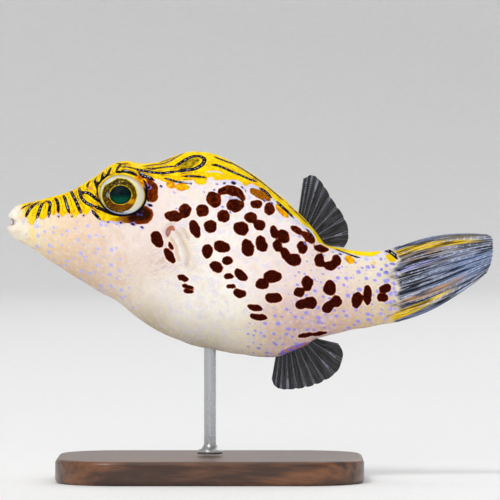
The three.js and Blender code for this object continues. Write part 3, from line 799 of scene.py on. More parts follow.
def relief(points):
    """How far the real skin stands out from the smooth body, along its normal, in mm."""
    x, y, z = points[..., 0], points[..., 1], points[..., 2]
    height = lip_relief(x, z) + wrinkles(x, z)
    gill = flat_distance(points, GILL_SLIT)
    flap = bump(gill - GILL["flap_at"], GILL["flap_width"]) * smoothstep(-12.5, -11.6, x)
    height += GILL["flap_rise"] * flap - GILL["depth"] * bump(gill, GILL["width"])
    for rise, width, line in SWELLS:
        height += rise * bump(flat_distance(points, line), width)
    nostril = nostril_distance(x, z)
    height += NOSTRIL["rise"] * bump(nostril, NOSTRIL["width"])
    height -= NOSTRIL["hole"] * bump(nostril, NOSTRIL["hole_width"])
    cheek = bump(x - CHEEK["x"], CHEEK["length"]) * bump(z - CHEEK["z"], CHEEK["height"])
    height += CHEEK["rise"] * cheek
    between_ends = smoothstep(-35.0, -32.0, x) * (1 - smoothstep(19.0, 22.0, x))
    return height + WAVE_RISE * soft_waves(x, y, z) * between_ends


def eye_front(x, z):
    """How far out, as |y|, the eyeball's front is at (x, z)."""
    axis = EYE_AXIS
    radius, depth = EYE["radius"], EYE["half_depth"]
    form = (np.eye(3) - np.outer(axis, axis)) / radius**2 + np.outer(axis, axis) / depth**2
    dx, dz = x - EYE["x"], z - EYE["z"]
    square = form[1, 1]
    line = 2 * (form[0, 1] * dx + form[1, 2] * dz)
    rest = form[0, 0] * dx**2 + 2 * form[0, 2] * dx * dz + form[2, 2] * dz**2 - 1
    root = np.sqrt(np.maximum(line**2 - 4 * square * rest, 0))
    return EYE["y"] + (-line + root) / (2 * square)


def eye_ring(x, z):
    """Distance from the middle of the eye's opening, as a share of the opening's radius."""
    a = (x - EYE_OPENING["x"]) / EYE_OPENING["half_length"]
    b = (z - EYE_OPENING["z"]) / EYE_OPENING["half_height"]
    square = np.maximum(a**2 + b**2, 1e-9)
    return np.sqrt(square) * (1 + EYE_OPENING["lean"] * 2 * a * b / square)


def open_eye(points):
    """Brings the skin down to the eyeball as a lid, and takes it in under the ball."""
    x, y, z = points[..., 0], points[..., 1], points[..., 2]
    outside = y < -1.0
    ring = eye_ring(x, z)
    on_edge = outside & (np.abs(ring - 1) < EYE_SNAP)
    shift = np.where(on_edge, 1 / np.maximum(ring, 1e-6), 1)
    x = EYE_OPENING["x"] + (x - EYE_OPENING["x"]) * shift
    z = EYE_OPENING["z"] + (z - EYE_OPENING["z"]) * shift
    ring = np.where(on_edge, 1, ring)
    front = eye_front(x, z)
    lid = front + LID_THICKNESS * (1 - smoothstep(1.0, 1.1, ring) * 0.4)
    lid = mix(lid, -y, smoothstep(1.0, 1.5, ring))
    tucked = front - mix(*LID_TUCK, smoothstep(0.8, 0.96, ring))
    depth = np.where(ring < 0.999, tucked, lid)
    moved = (outside & (ring < 1.5))[..., None]
    return np.where(moved, np.stack([x, -depth, z], axis=-1), points)


def levelled(points, arcs):
    """Arcs measured from a nearly level line along the flank, so that round dots stay round."""
    level = np.interp(points[:, 0, 0], *np.transpose(DOT_LEVEL))
    start = [np.interp(-at, -ring, arc) for at, ring, arc in zip(level, points[..., 2], arcs)]
    return arcs - np.array(start)[:, None]


def skin_shape():
    """The left half's points with all relief, and where each lies round its section."""
    smooth_points, arcs = flank_grid()
    arcs = levelled(smooth_points, arcs)
    points = smooth_points + grid_normals(smooth_points) * relief(smooth_points)[..., None]
    points[..., 1] = np.minimum(points[..., 1], 0)
    points[:, [0, -1], 1] = 0
    x = points[..., 0]
    points[..., 0] = np.where(x < LIP_START_X, mix(LIP_START_X, x, LIP_SHARE), x)
    return open_eye(points), arcs


def whole_ring(half):
    """Values of the left half's grid carried on round the right half."""
    return np.concatenate([half, half[:, -2:0:-1]], axis=1)


# ---------------------------------------------------------------- the skin's markings


def lifted(line, tree):
    """A line of (x, z) points laid on the left flank, in mm."""
    out = []
    for x, z in rounded(line):
        for sink in (0.0, 0.15, 0.35, 0.6, 1.0):
            start = Vector((x, -20.0, z - sink)) * MM
            hit = tree.ray_cast(start, Vector((0, 1, 0)))[0]
            if hit is not None:
                out.append(np.array(hit) / MM)
                break
    return np.array(out)


def lines_on_skin(points, lines, tree):
    """Nearest place on the lines, and (distance, length along, half width), for each point."""
    place = points + np.array([0, 0, LINE_REACH])
    facts = np.zeros((len(points), 3))
    facts[:, 0] = LINE_REACH
    flank = np.column_stack([points[:, 0], -np.abs(points[:, 1]), points[:, 2]])
    for width, line in lines:
        laid = lifted(line, tree)
        if len(laid) < 2:
            continue
        low, high = laid.min(0) - LINE_REACH, laid.max(0) + LINE_REACH
        close = np.flatnonzero(np.all((flank > low) & (flank < high), axis=1))
        if not len(close):
            continue
        nearest, along, foot, total = line_distance(flank[close], laid)
        from_tip = smoothstep(0, LINE_TIP["length"], np.minimum(along, total - along))
        taper = mix(LINE_TIP["share"], 1.0, from_tip)
        better = nearest < facts[close, 0]
        chosen = close[better]
        place[chosen] = foot[better]
        facts[chosen] = np.column_stack([nearest, along, width * taper])[better]
    mirrored = (points[:, 1] > 0) & (facts[:, 0] < LINE_REACH)
    place[mirrored, 1] *= -1
    return place, facts


def jittered(spots, seed):
    """The same spots, each moved and turned a little, for the flank that the photo doesn't show."""
    chance = np.random.default_rng(seed)
    out = []
    for x, z, length, height, tilt in spots:
        dx, dz, turn, grow = chance.uniform(-1, 1, 4)
        x, z = x + JITTER["shift"] * dx, z + JITTER["shift"] * dz
        size = 1 + JITTER["size"] * grow
        out.append((x, z, length * size, height * size, tilt + JITTER["turn"] * turn))
    return out


def joined(a, b, reach):
    """The nearer of two distances, with a soft neck where two shapes nearly touch."""
    share = np.clip(0.5 + 0.5 * (b - a) / reach, 0, 1)
    return mix(b, a, share) - reach * share * (1 - share)


def spot_distance(x, z, spots):
    """Signed distance to the dark spots. The rear ones run together more."""
    reach = mix(*SPOT_REACH, smoothstep(5.5, 7.5, x))
    shapes = [ellipse_distance(x, z, spot) for spot in spots]
    shapes += [band_distance(x, z, *arc) for arc in SPOT_ARCS]
    distance = shapes[0]
    for shape in shapes[1:]:
        distance = joined(distance, shape, reach)
    return distance


def nearest_ellipse(x, z, ellipses):
    """Signed distance to the nearest of many ellipses."""
    return np.min([ellipse_distance(x, z, ellipse) for ellipse in ellipses], axis=0)


def saddle_depth(x, z):
    """Distance above the yellow saddle's lower edge, in the side view; negative below it."""
    edge = rounded(SADDLE_EDGE, steps=4)
    nearest = line_distance(np.column_stack([x, z]), edge)[0]
    return np.where(z > np.interp(x, edge[:, 0], edge[:, 1]), nearest, -nearest)


def skin_tone_and_shade(x, z):
    """The unmarked skin's colour, with its painted shade, blended between the places where it is
    given.
    """
    total = np.full(x.shape, 1e-9)
    colour = np.zeros((len(x), 3))
    for px, pz, rgb in SKIN_TONES_AND_SHADE:
        weight = np.exp(-((x - px) ** 2 + (z - pz) ** 2) / (2 * TONE_SPREAD**2)) + 1e-7
        total += weight
        colour += weight[:, None] * linear(rgb)
    return colour / total[:, None]


def dot_shares(x, y, z):
    """How much each kind of lavender dot shows: on the cheek, the flank, and towards the tail."""
    cheek = smoothstep(-34.6, -32.5, x) * (1 - smoothstep(-20.5, -15.5, x + 0.25 * (z - 33.0)))
    cheek = cheek * (1 - smoothstep(38.3, 39.6, z) * (1 - smoothstep(-16.5, -14.0, x)))
    flank = smoothstep(-20.0, -14.0, x) * (1 - 0.5 * bump(x + 4, 9) * bump(z - 27, 5))
    tail = smoothstep(-5.0, 3.0, x) * (1 - smoothstep(24.5, 28.0, z) * (1 - smoothstep(3, 9, x)))
    tail = tail * mix(1.0, 0.6, smoothstep(29.0, 33.0, z) * (1 - smoothstep(12, 15, x)))
    keel = smoothstep(0.1, 0.6, np.abs(y))
    return np.column_stack([cheek, flank, tail]) * keel[:, None]


def mark_skin(piece, points, arcs):
    """Stores what the skin's material needs to draw its markings."""
    x, y, z = points.T
    right_spots = jittered(SPOTS, seed=7)
    spots = np.where(y > 0, spot_distance(x, z, right_spots), spot_distance(x, z, SPOTS))
    specks = nearest_ellipse(x, z, [(*at, size, 0.6 * size, tilt) for *at, size, tilt in SPECKS])
    bands = np.min([band_distance(x, z, *band) for band in EYE_BANDS], axis=0)
    folds = np.min([flat_distance(points, line) for line in SOFT_FOLDS], axis=0)
    ring, blue = ellipse_distance(x, z, OLIVE_RING), nearest_ellipse(x, z, BLUE_DOTS)
    comma, anal_band = band_distance(x, z, *COMMA), band_distance(x, z, *ANAL_BAND)
    add_attribute(piece, "spots", spots, specks, nearest_ellipse(x, z, GOLDEN_BLOTCHES))
    add_attribute(piece, "eye_bands", bands)
    add_attribute(piece, "saddle", saddle_depth(x, z))
    add_attribute(piece, "soft_marks", ring, blue, folds)
    # the skin's colour, with painted shade low on the belly and in front of the pectoral fin
    add_attribute(piece, "tone", skin_tone_and_shade(x, z))
    add_attribute(piece, "dot_shares", dot_shares(x, y, z))
    add_attribute(piece, "unrolled", x, arcs + np.where(y > 0, RIGHT_NET_SHIFT, 0.0), 0 * x)
    add_attribute(piece, "eye_ring", eye_ring(x, z))
    add_attribute(piece, "nostril", nostril_distance(x, z))
    add_attribute(piece, "creases", mouth_carving(x, z), comma, anal_band)
    tree = BVHTree.FromObject(piece, bpy.context.evaluated_depsgraph_get())
    # the pale lines include painted highlights along the bold lines behind the eye
    for name, lines in (("dark_line", DARK_LINES), ("pale_line", PALE_LINES_AND_HIGHLIGHTS)):
        place, facts = lines_on_skin(points, lines, tree)
        add_attribute(piece, name, place)
        add_attribute(piece, name + "_facts", facts)


# ---------------------------------------------------------------- the skin's material


class SkinShader(Shader):
    """The spotted skin's material, with the values that several of its layers use."""

    def __init__(self):
        super().__init__("spotted_skin")
        self.here = self.place_in_mm()
        self.side_view = self.scaled(self.here, 1.0, 0.0, 1.0)
        self.x, _, self.z = self.parts(self.here)
        self.spots, self.specks, self.golden = self.parts(self.attribute("spots", "Vector"))
        self.olive_ring, self.blue, self.fold = self.parts(self.attribute("soft_marks", "Vector"))
        self.eye_ring = self.attribute("eye_ring")
        self.middle = self.noise(self.here, 1.6, 3.0)
        self.fine = self.noise(self.here, 5.0, 4.0)
        self.wobble = self.noise(self.side_view, 0.9, 1.0) * 0.55 - 0.275
        self.saddle = self.attribute("saddle")
        self.saddle_edge = self.saddle + self.wobble
        self.on_saddle = self.saddle_edge.rises(-0.08, 0.08)


def paint_bare_skin(s):
    """The unmarked skin, mottled a little, with faint lavender and cream clouds on the flank."""
    # the tone holds painted shade low on the belly and in front of the pectoral fin
    s.colour = s.attribute("tone", "Color")
    cheek = s.x.falls(-19.0, -14.0)
    patches = s.noise(s.here, 0.7, 5.0).rises(0.46, 0.62)
    s.paint(patches * 0.3, s.mix(cheek, (226, 206, 208), (222, 178, 136)))
    s.paint(s.middle.rises(0.52, 0.72) * 0.25, (255, 250, 246))
    s.paint(s.fine.rises(0.55, 0.75) * 0.12, (214, 186, 160))
    flank = s.x.within(-13.0, 13.0, 2.0)
    clouds = s.noise(s.vector("ADD", s.here, (7.0, 0.0, 3.0)), 0.9, 4.0)
    s.paint(clouds.rises(0.5, 0.64) * flank * 0.5, (224, 216, 236))
    s.paint(clouds.falls(0.36, 0.48) * flank * 0.4, (240, 226, 200))


def paint_pectoral_folds(s):
    """Fine wrinkles in front of the pectoral fin, darkened pink in their creases as painted shade,
    and soft folds where it stands out, with tan painted shade along them.
    """
    across, along = s.x * -1.6 + s.z * 2.8, s.x * 0.4 + s.z * 0.22
    creases = s.noise(s.point(across, along), 1.3, 3.0).rises(0.48, 0.6)
    near = s.distance(s.side_view, (-13.0, 0.0, 32.6)).falls(1.0, 3.4)
    # pink painted shade in the creases of the fine wrinkles
    s.paint(creases * near * 0.5, (206, 168, 156))
    pouch = s.distance(s.side_view, (-10.2, 0.0, 35.0)).falls(0.8, 3.0)
    s.paint(pouch * s.middle.rises(0.3, 0.6) * 0.6, (246, 240, 236))
    # tan painted shade along the soft folds
    s.paint(s.fold.falls(0.05, 0.5) * 0.6, (214, 184, 144))


def dots(s, unrolled, share, scale, stretch, size, spread):
    """Round dots, one in most cells of a net laid on the unrolled skin; sizes in cells."""
    at = s.scaled(unrolled, stretch, 1.0, 1.0)
    net = {"randomness": DOT_SCATTER, "voronoi_dimensions": "2D"}
    uneven = s.noise(unrolled, scale * 3, 2.0) * 0.16 - 0.08
    distance = s.cells(at, scale, **net) + uneven
    chance = s.parts(s.cells(at, scale, "Color", **net))[0]
    radius = (chance * spread + (size - spread)) * share
    return s.math("DIVIDE", radius - distance, DOT_SOFTNESS, clamp=True)


def paint_dots(s):
    """Lavender dots, the blue dots that stand apart, and a yellow streak on the snout."""
    unrolled = s.attribute("unrolled", "Vector")
    shares = s.parts(s.attribute("dot_shares", "Vector"))
    for part, scale, stretch, size, spread, rgb, strength in DOT_LAYERS:
        mask = dots(s, unrolled, shares[part], scale, stretch, size, spread)
        s.paint(mask * strength, rgb)
    deep = s.either(s.x.within(-17.6, -14.5, 0.4), s.z.rises(30.6, 31.4))
    blue = (s.blue + s.wobble).falls(-0.08, 0.08)
    s.paint(blue * 0.85, s.mix(deep, (168, 162, 250), (104, 104, 226)))
    streak = (s.x + s.wobble).within(-33.0, -32.0, 0.45) * s.z.within(35.9, 38.6, 1.0)
    s.paint(streak * 0.6, (250, 222, 112))


def paint_saddle(s):
    """The yellow saddle with its pale border and the olive ring on the back."""
    s.paint(s.saddle.rises(-1.0, -0.15) * s.x.rises(-6.5, -2.5) * 0.7, (216, 214, 232))
    under_eye = s.saddle.rises(-0.42, -0.12) * s.x.within(-22.3, -19.0, 0.3)
    s.paint(under_eye * 0.85, (196, 192, 242))
    yellow = s.mix(s.middle.rises(0.52, 0.68) * 0.4, (253, 220, 0), (250, 182, 0))
    yellow = s.mix(s.fine.rises(0.52, 0.62) * 0.5, yellow, (255, 240, 60))
    yellow = s.mix(s.noise(s.here, 1.1, 4.0).rises(0.52, 0.66) * 0.5, yellow, (216, 152, 0))
    low = s.saddle_edge.falls(0.1, 0.9) * s.middle.rises(0.35, 0.55) * s.x.falls(1.0, 4.0)
    yellow = s.mix(low * 0.45, yellow, (248, 166, 0))
    snout = s.x.falls(-35.0, -32.0) * s.saddle_edge.falls(0.0, 1.3)
    yellow = s.mix(snout * 0.7, yellow, (252, 238, 170))
    behind_lips = (s.x + s.wobble * 3.0).rises(-35.3, -33.6)
    s.paint(s.on_saddle * behind_lips, yellow)
    olive = (s.olive_ring + s.wobble).falls(-0.3, 0.05)
    s.paint(olive, s.mix(s.middle.rises(0.35, 0.6), (118, 96, 6), (196, 166, 10)))


def paint_blotches(s):
    """Golden blotches along the saddle: brown in the middle of the back, yellow at the tail."""
    brown = s.mix(s.fine.rises(0.4, 0.6), (130, 66, 2), (184, 108, 10))
    gold = s.mix(s.middle.rises(0.4, 0.62), (214, 132, 6), (250, 186, 0))
    gold = s.mix(s.x.rises(16.0, 20.5), gold, (238, 200, 20))
    gold = s.mix(s.x.rises(-2.0, -1.0) * s.x.falls(3.4, 4.2), gold, brown)
    faint = s.x.within(17.5, 19.6, 0.3) * 0.55
    s.paint((s.golden + s.wobble).falls(-0.1, 0.04) * (1.0 - faint), gold)


def paint_eye_bands(s):
    """The bands behind and below the eye: gold and rust above, yellow to brown below."""
    bands = s.attribute("eye_bands") + s.wobble
    on_bands = bands.falls(-0.06, 0.05)
    brown = s.mix((bands + s.middle * 0.8).rises(-0.3, 0.3), (46, 12, 0), (112, 42, 0))
    lower = s.mix(s.x.rises(-20.6, -18.7), (228, 178, 0), (140, 86, 0))
    lower = s.mix(s.middle.rises(0.5, 0.62) * 0.6, lower, (176, 120, 0))
    lower = s.mix((s.x + s.middle * 2.0).rises(-18.0, -16.7), lower, brown)
    gold = s.mix(s.middle.rises(0.42, 0.6), (206, 104, 0), (252, 182, 0))
    rust = s.mix(s.middle.rises(0.4, 0.62), (118, 42, 0), (80, 22, 0))
    upper = s.mix((s.x + s.wobble).falls(-15.5, -15.3), rust, gold)
    colour = s.mix(s.z.falls(41.1, 41.5), upper, lower)
    colour = s.mix(bands.rises(-0.2, -0.02) * s.x.rises(-18.0, -16.5) * 0.7, colour, (186, 92, 20))
    s.paint(on_bands, colour)
    s.paint(s.blue.falls(-0.12, 0.12) * on_bands * 0.9, (62, 76, 148))


def paint_spots(s):
    """Dark spots with a thin warm rim and a pale halo, and dark specks in a violet haze."""
    ragged = s.noise(s.side_view, 5.0, 3.0) * 0.16 - 0.08
    edge = s.spots + s.wobble + ragged
    s.paint(edge.falls(0.08, 0.24) * 0.4, (255, 246, 242))
    upper = s.either(s.z.rises(37.0, 42.5), s.z.rises(34.5, 37.0) * s.x.rises(4, 7))
    dark = s.mix(s.fine.rises(0.4, 0.65), (38, 3, 0), (72, 14, 0))
    dark = s.mix(s.middle.rises(0.42, 0.64) * upper * 0.6, dark, (120, 42, 2))
    dark = s.mix(edge.rises(-0.11, -0.02), dark, (172, 76, 18))
    s.paint(edge.falls(-0.04, 0.06), dark)
    s.paint(s.specks.falls(0.02, 0.24) * s.middle.rises(0.4, 0.6) * 0.8, (158, 148, 236))
    s.paint(s.specks.falls(-0.05, 0.05), (30, 14, 30))


def line_mask(s, name, sway, softness):
    """Where a line runs, and how far from its middle and along it the shaded place is."""
    rough, along, width = s.parts(s.attribute(name + "_facts", "Vector"))
    gap = s.distance(s.here, s.attribute(name, "Vector")) + sway
    edge = s.math("DIVIDE", width - gap, softness, clamp=True)
    return edge * rough.falls(0.38, 0.5), gap, along, width


def paint_lines(s):
    """Dark lines with a beaded core and orange painted shade beside them on the saddle, and the
    pale lines, some of which are painted highlights.
    """
    sway = (s.fine - 0.5) * 0.12
    line, gap, along, width = line_mask(s, "dark_line", sway, 0.05)
    pale = line_mask(s, "pale_line", sway, 0.08)[0]
    # orange painted shade beside the dark lines, so that the yellow between them looks puffed up
    line_shade = gap.falls(0.16, 0.42) * s.on_saddle * s.middle.rises(0.3, 0.6)
    s.paint(line_shade * 0.7, (204, 104, 0))
    s.paint(line, s.mix(s.fine.rises(0.4, 0.6), (10, 5, 20), (34, 20, 38)))
    # pale lines; the short ones behind the eye are painted highlights along the bold lines
    s.paint(pale * 0.8, (206, 208, 236))
    beads = s.noise(s.point(along, s.x * 0.2), 3.4, 1.0).rises(0.5, 0.62)
    core = gap.falls(0.03, 0.11) * beads * line * s.eye_ring.rises(1.12, 1.35)
    s.paint(core * width.rises(0.16, 0.22) * 0.75, (196, 202, 238))
    return line, gap


def paint_openings(s):
    """The rims of the eye, gill, mouth and nostril openings, and the anal fin's base."""
    # painted shade: the lid's rim dark round the lower part of the eye, not at the top
    lid = s.eye_ring.falls(1.08, 1.13) * (s.z + s.x * -0.22).falls(46.9, 47.9)
    s.paint(lid, (12, 8, 14))
    # the lid's very edge: gold at the top, and pale blue at the bottom as a painted highlight
    under_lid = s.mix(s.z.rises(40.4, 41.6), (196, 210, 232), (220, 186, 40))
    s.paint(s.eye_ring.falls(0.985, 1.02) * 0.7, under_lid)
    mouth, comma, anal_band = s.parts(s.attribute("creases", "Vector"))
    inner = comma.falls(-0.32, -0.14) * s.z.falls(36.9, 37.8)
    s.paint(comma.falls(-0.12, 0.12), s.mix(inner, (176, 108, 82), (178, 154, 192)))
    streaks = s.noise(s.point(s.x * 0.55 + s.z * -1.6, s.x), 1.6, 4.0).rises(0.46, 0.58)
    violet = s.mix(streaks, (140, 126, 238), (206, 140, 92))
    s.paint((anal_band + s.wobble * 0.6).falls(-0.05, 0.08), violet)
    # painted shade: dark brown deep in the mouth's groove
    s.paint(mouth.rises(0.3, 0.8) * 0.9, (120, 84, 70))
    s.paint(s.attribute("nostril").falls(0.1, 0.55) * 0.8, (226, 132, 84))


def paint_tail_end(s, line):
    """The tail fin's streaks, where its rays run into the flesh."""
    flesh = s.colour
    across, along = tail_fan_place(s.x, s.z)
    paint_tail_fin(s, (across, along, TAIL_ROOT_SPACING))
    fin = tail_join(s, s.x, s.z) * s.x.rises(20.0, 20.6) * (1.0 - line)
    s.colour = s.mix(fin, flesh, s.colour)


def skin_material():
    s = SkinShader()
    paint_bare_skin(s)
    paint_pectoral_folds(s)
    paint_dots(s)
    paint_saddle(s)
    paint_blotches(s)
    paint_eye_bands(s)
    paint_spots(s)
    line, line_gap = paint_lines(s)
    paint_openings(s)
    paint_tail_end(s, line)
    # skin of fine prickles over a faint net of wrinkles, sunk a little along the dark lines
    net = s.cells(s.here, 0.9, feature="DISTANCE_TO_EDGE")
    s.emboss(net.rises(0.0, 0.16), 0.03, 0.35)
    s.emboss(s.cells(s.here, 2.6), 0.05, 0.4)
    s.emboss(s.noise(s.scaled(s.here, 0.5, 1.4, 1.4), 3.2, 4.0), 0.12, 0.5)
    s.emboss(line_gap.rises(0.05, 0.6) * s.on_saddle, 0.16, 0.6)
    return s.surface(Roughness=s.fine * 0.14 + 0.4, Specular_IOR_Level=0.03)


def make_skin():
    half, half_arcs = skin_shape()
    rings = whole_ring(half)
    rings[:, SKIN_HALF_RING + 1 :, 1] *= -1
    throat = [SNOUT_TIP_X + MOUTH["depth"], 0, MOUTH_Z]
    piece, points, shares = wrapped("puffer_skin", rings, [throat, rings[-1].mean(0)])
    add_bake_map(piece, shares)
    mark_skin(piece, points, np.append(whole_ring(half_arcs), [0, 0]))
    nodes = ["head", "trunk", "tail", "upper_lip", "lower_lip"]
    return dress(piece, skin_material(), nodes)


# ---------------------------------------------------------------- the eyes

PUPIL = {"x": -19.28, "z": 42.81, "half_length": 1.66, "half_height": 1.42}
IRIS = {"x": -19.46, "z": 42.8, "half_length": 2.65, "half_height": 2.54}
IRIS_CUT = {"across": -0.515, "up": 0.857, "reach": 2.34}  # its straighter upper front edge
CORNEA_CLEARANCE = 0.16
CORNEA_THICKNESS = 0.06
CORNEA_REACH = 1.2  # how far it runs down over the ball from its front, in radians
CORNEA_RINGS = 26
EYE_INSET = 0.04  # how much narrower than the CAD's ball the eyeball is
CORNEA_INSET = 0.03  # how much narrower the cornea is on its inside
EYE_RINGS = 70
EYE_SIDES = 112


def ball_rings(side, half_depth, radius, polar):
    """Rings of points of a flattened ball round the eye's axis, at angles from its front."""
    axis = EYE_AXIS * np.array([1, side, 1])
    level = unit(np.cross(axis, [0, 0, 1.0]))
    rise = np.cross(level, axis)
    turn = np.linspace(0, 2 * math.pi, EYE_SIDES, endpoint=False)
    out = np.sin(polar)[:, None] * radius
    a, b = out * np.cos(turn), out * np.sin(turn)
    c = np.cos(polar)[:, None] * half_depth + 0 * turn
    centre = np.array([EYE["x"], side * EYE["y"], EYE["z"]])
    return centre + a[..., None] * level + b[..., None] * rise + c[..., None] * axis


def wrapped_ball(name, rings):
    """A closed mesh over a ball's rings, whose first and last have no width."""
    return wrapped(name, rings[1:-1], [rings[0, 0], rings[-1, 0]])[:2]


def oval(x, z, shape):
    """Distance from an oval's middle, as a share of its radius."""
    a, b = (x - shape["x"]) / shape["half_length"], (z - shape["z"]) / shape["half_height"]
    return np.hypot(a, b)


def eye_relief(points):
    """The pupil stands up as a lens in the dished iris, inside a raised pale ring."""
    x, z = points[..., 0], points[..., 2]
    pupil = oval(x, z, PUPIL)
    cut = IRIS_CUT["across"] * (x - IRIS["x"]) + IRIS_CUT["up"] * (z - IRIS["z"])
    iris = np.maximum(oval(x, z, IRIS), cut / IRIS_CUT["reach"])
    dish = -0.16 * (1 - smoothstep(0.75, 1.08, iris))
    lens = 0.2 * np.sqrt(np.clip(1 - pupil**2, 0, 1))
    return dish + lens + 0.05 * bump(pupil - 1.04, 0.05)


class EyeShader(Shader):
    """The eyeball's material. Places on it are measured from the middle of the pupil, in mm."""

    def __init__(self):
        super().__init__("gold_eye")
        self.across, self.up, _ = self.parts(self.attribute("seen", "Vector"))
        self.pupil = self.ring(PUPIL)
        turn = self.math("ARCTAN2", self.up, self.across)
        self.streaks = self.noise(self.point(turn * 2.2, self.pupil * 2.4), 1.6, 5.0)
        self.flecks = self.noise(self.place_in_mm(), 3.2, 3.0)

    def oval(self, half_length, half_height, dx=0.0, dz=0.0):
        """Distance from an oval's middle, as a share of its radius."""
        a, b = (self.across - dx) / half_length, (self.up - dz) / half_height
        return self.math("SQRT", self.math("POWER", a, 2.0) + self.math("POWER", b, 2.0))

    def ring(self, shape):
        """The same for one of the eye's own ovals."""
        dx, dz = shape["x"] - PUPIL["x"], shape["z"] - PUPIL["z"]
        return self.oval(shape["half_length"], shape["half_height"], dx, dz)


def iris_ring(s):
    """Distance from the iris's middle, as a share of its radius, with its straight front edge."""
    dx, dz, reach = IRIS["x"] - PUPIL["x"], IRIS["z"] - PUPIL["z"], IRIS_CUT["reach"]
    cut = s.across * (IRIS_CUT["across"] / reach) + s.up * (IRIS_CUT["up"] / reach)
    middle = (IRIS_CUT["across"] * dx + IRIS_CUT["up"] * dz) / reach
    return s.either(s.ring(IRIS), cut - middle)


def paint_iris(s, iris):
    """Dark olive above, warm brown below and gold at the lower right, with bright flecks and a
    painted highlight left of the pupil.
    """
    dark = s.mix(s.up.rises(-1.6, 1.0), (50, 28, 0), (34, 28, 0))
    light = s.mix(s.up.rises(-1.6, 1.0), (100, 60, 0), (92, 76, 0))
    s.colour = s.mix(s.streaks.rises(0.36, 0.64), dark, light)
    s.paint((s.across * 0.55 - s.up * 0.75).rises(-0.2, 1.9) * 0.6, (142, 76, 0))
    s.paint(s.oval(0.85, 0.4, 1.5, -0.95).falls(0.4, 1.4) * 0.85, (236, 160, 0))
    s.paint(s.flecks.rises(0.58, 0.7) * 0.75, (206, 158, 0))
    s.paint(iris.rises(0.84, 0.97) * 0.5, (58, 42, 0))
    # a painted highlight: a blue-grey smudge to the left of the pupil
    s.paint(s.oval(0.26, 0.5, -1.93, -0.02).falls(0.3, 1.3) * 0.85, (134, 134, 150))
    edge = iris.rises(0.95, 0.975) * iris.falls(1.0, 1.04)
    s.paint(edge * s.streaks.rises(0.3, 0.45) * s.up.rises(-2.0, -0.9), (228, 208, 30))


def paint_pale_ring(s, iris):
    """Bluish at the upper front, cream behind, with a fine orange line and a gold edge."""
    pale = s.mix(s.across.falls(-2.2, -0.6), (236, 230, 208), (232, 234, 242))
    pale = s.mix(s.across.falls(-3.1, -2.75), pale, (170, 164, 120))
    pale = s.mix(s.flecks.rises(0.5, 0.7) * 0.35, pale, (202, 198, 176))
    # at the bottom: grey, flecked with pale blue as painted highlights
    grey = s.mix(s.flecks.rises(0.46, 0.6), (108, 116, 132), (206, 218, 236))
    pale = s.mix(s.up.falls(-2.2, -1.5) * s.across.falls(0.4, 1.8), pale, grey)
    s.paint(iris.rises(1.0, 1.03), pale)
    outer = s.ring(EYE_OPENING)
    thread = outer.within(0.87, 0.9, 0.015) * s.up.rises(0.2, 1.2) * s.across.rises(-0.6, 0.6)
    s.paint(thread * 0.7, (222, 168, 84))
    s.paint(outer.within(0.92, 0.95, 0.015) * s.up.rises(-0.4, 0.8) * 0.7, (255, 255, 246))
    s.paint(outer.rises(0.97, 1.0) * s.up.rises(-1.6, -0.4) * 0.85, (226, 192, 30))
    # painted shade: dark where the ball runs in under the lid
    s.paint(outer.rises(1.03, 1.06), (34, 26, 12))


def paint_pupil(s):
    """Dark teal with a darker heart, inside a bright gold rim."""
    teal = s.mix(s.up.rises(-1.0, 0.2), (0, 76, 56), (0, 22, 24))
    teal = s.mix(s.oval(0.36, 0.36, 0.12, 0.22).falls(0.4, 1.2), teal, (0, 6, 26))
    teal = s.mix(s.oval(1.2, 1.1).rises(0.9, 1.25) * 0.75, teal, (0, 20, 18))
    rim = s.pupil.falls(1.02, 1.08) * s.streaks.rises(0.34, 0.46)
    s.paint(rim, s.mix(s.flecks.rises(0.4, 0.6), (190, 150, 10), (248, 226, 30)))
    s.paint(s.pupil.falls(0.985, 1.005), teal)


def eye_material():
    s = EyeShader()
    iris = iris_ring(s)
    paint_iris(s, iris)
    paint_pale_ring(s, iris)
    paint_pupil(s)
    s.emboss(s.streaks, 0.06, 0.4)
    return s.surface(Roughness=0.4, Specular_IOR_Level=0.06)


def cornea_material():
    s = Shader("clear_cornea")
    clear = s.node("BsdfTransparent", {})
    coat = {"Base Color": (0.02, 0.02, 0.02, 1), "Roughness": 0.03, "IOR": 1.45}
    gloss = s.node("BsdfPrincipled", coat)
    share = s.node("Fresnel", {"IOR": 1.36}) * 0.25
    return s.finish(s.node("MixShader", {0: share, 1: clear, 2: gloss}))


def make_eye(side, gold, clear):
    node = "eye_right" if side == RIGHT else "eye_left"
    depth, radius = EYE["half_depth"], EYE["radius"]
    polar = np.linspace(0, math.pi, EYE_RINGS + 2)
    rings = ball_rings(side, depth - CORNEA_CLEARANCE, radius - EYE_INSET, polar)
    rings[:-1] += eye_relief(rings[:-1])[..., None] * EYE_AXIS * np.array([1, side, 1])
    ball, points = wrapped_ball(node.replace("eye", "eyeball"), rings)
    x, _, z = points.T
    add_attribute(ball, "seen", x - PUPIL["x"], z - PUPIL["z"], 0 * x)
    dress(ball, gold, [node])

    # the cornea: a clear cap of the CAD's ball, with an inner face just under it
    polar = np.linspace(0, CORNEA_REACH, CORNEA_RINGS)
    outer = ball_rings(side, depth, radius, polar)
    inner = ball_rings(side, depth - CORNEA_THICKNESS, radius - CORNEA_INSET, polar[::-1])
    cornea, _ = wrapped_ball(node.replace("eye", "cornea"), np.concatenate([outer, inner]))
    dress(cornea, clear, [node])


# ---------------------------------------------------------------- the fins

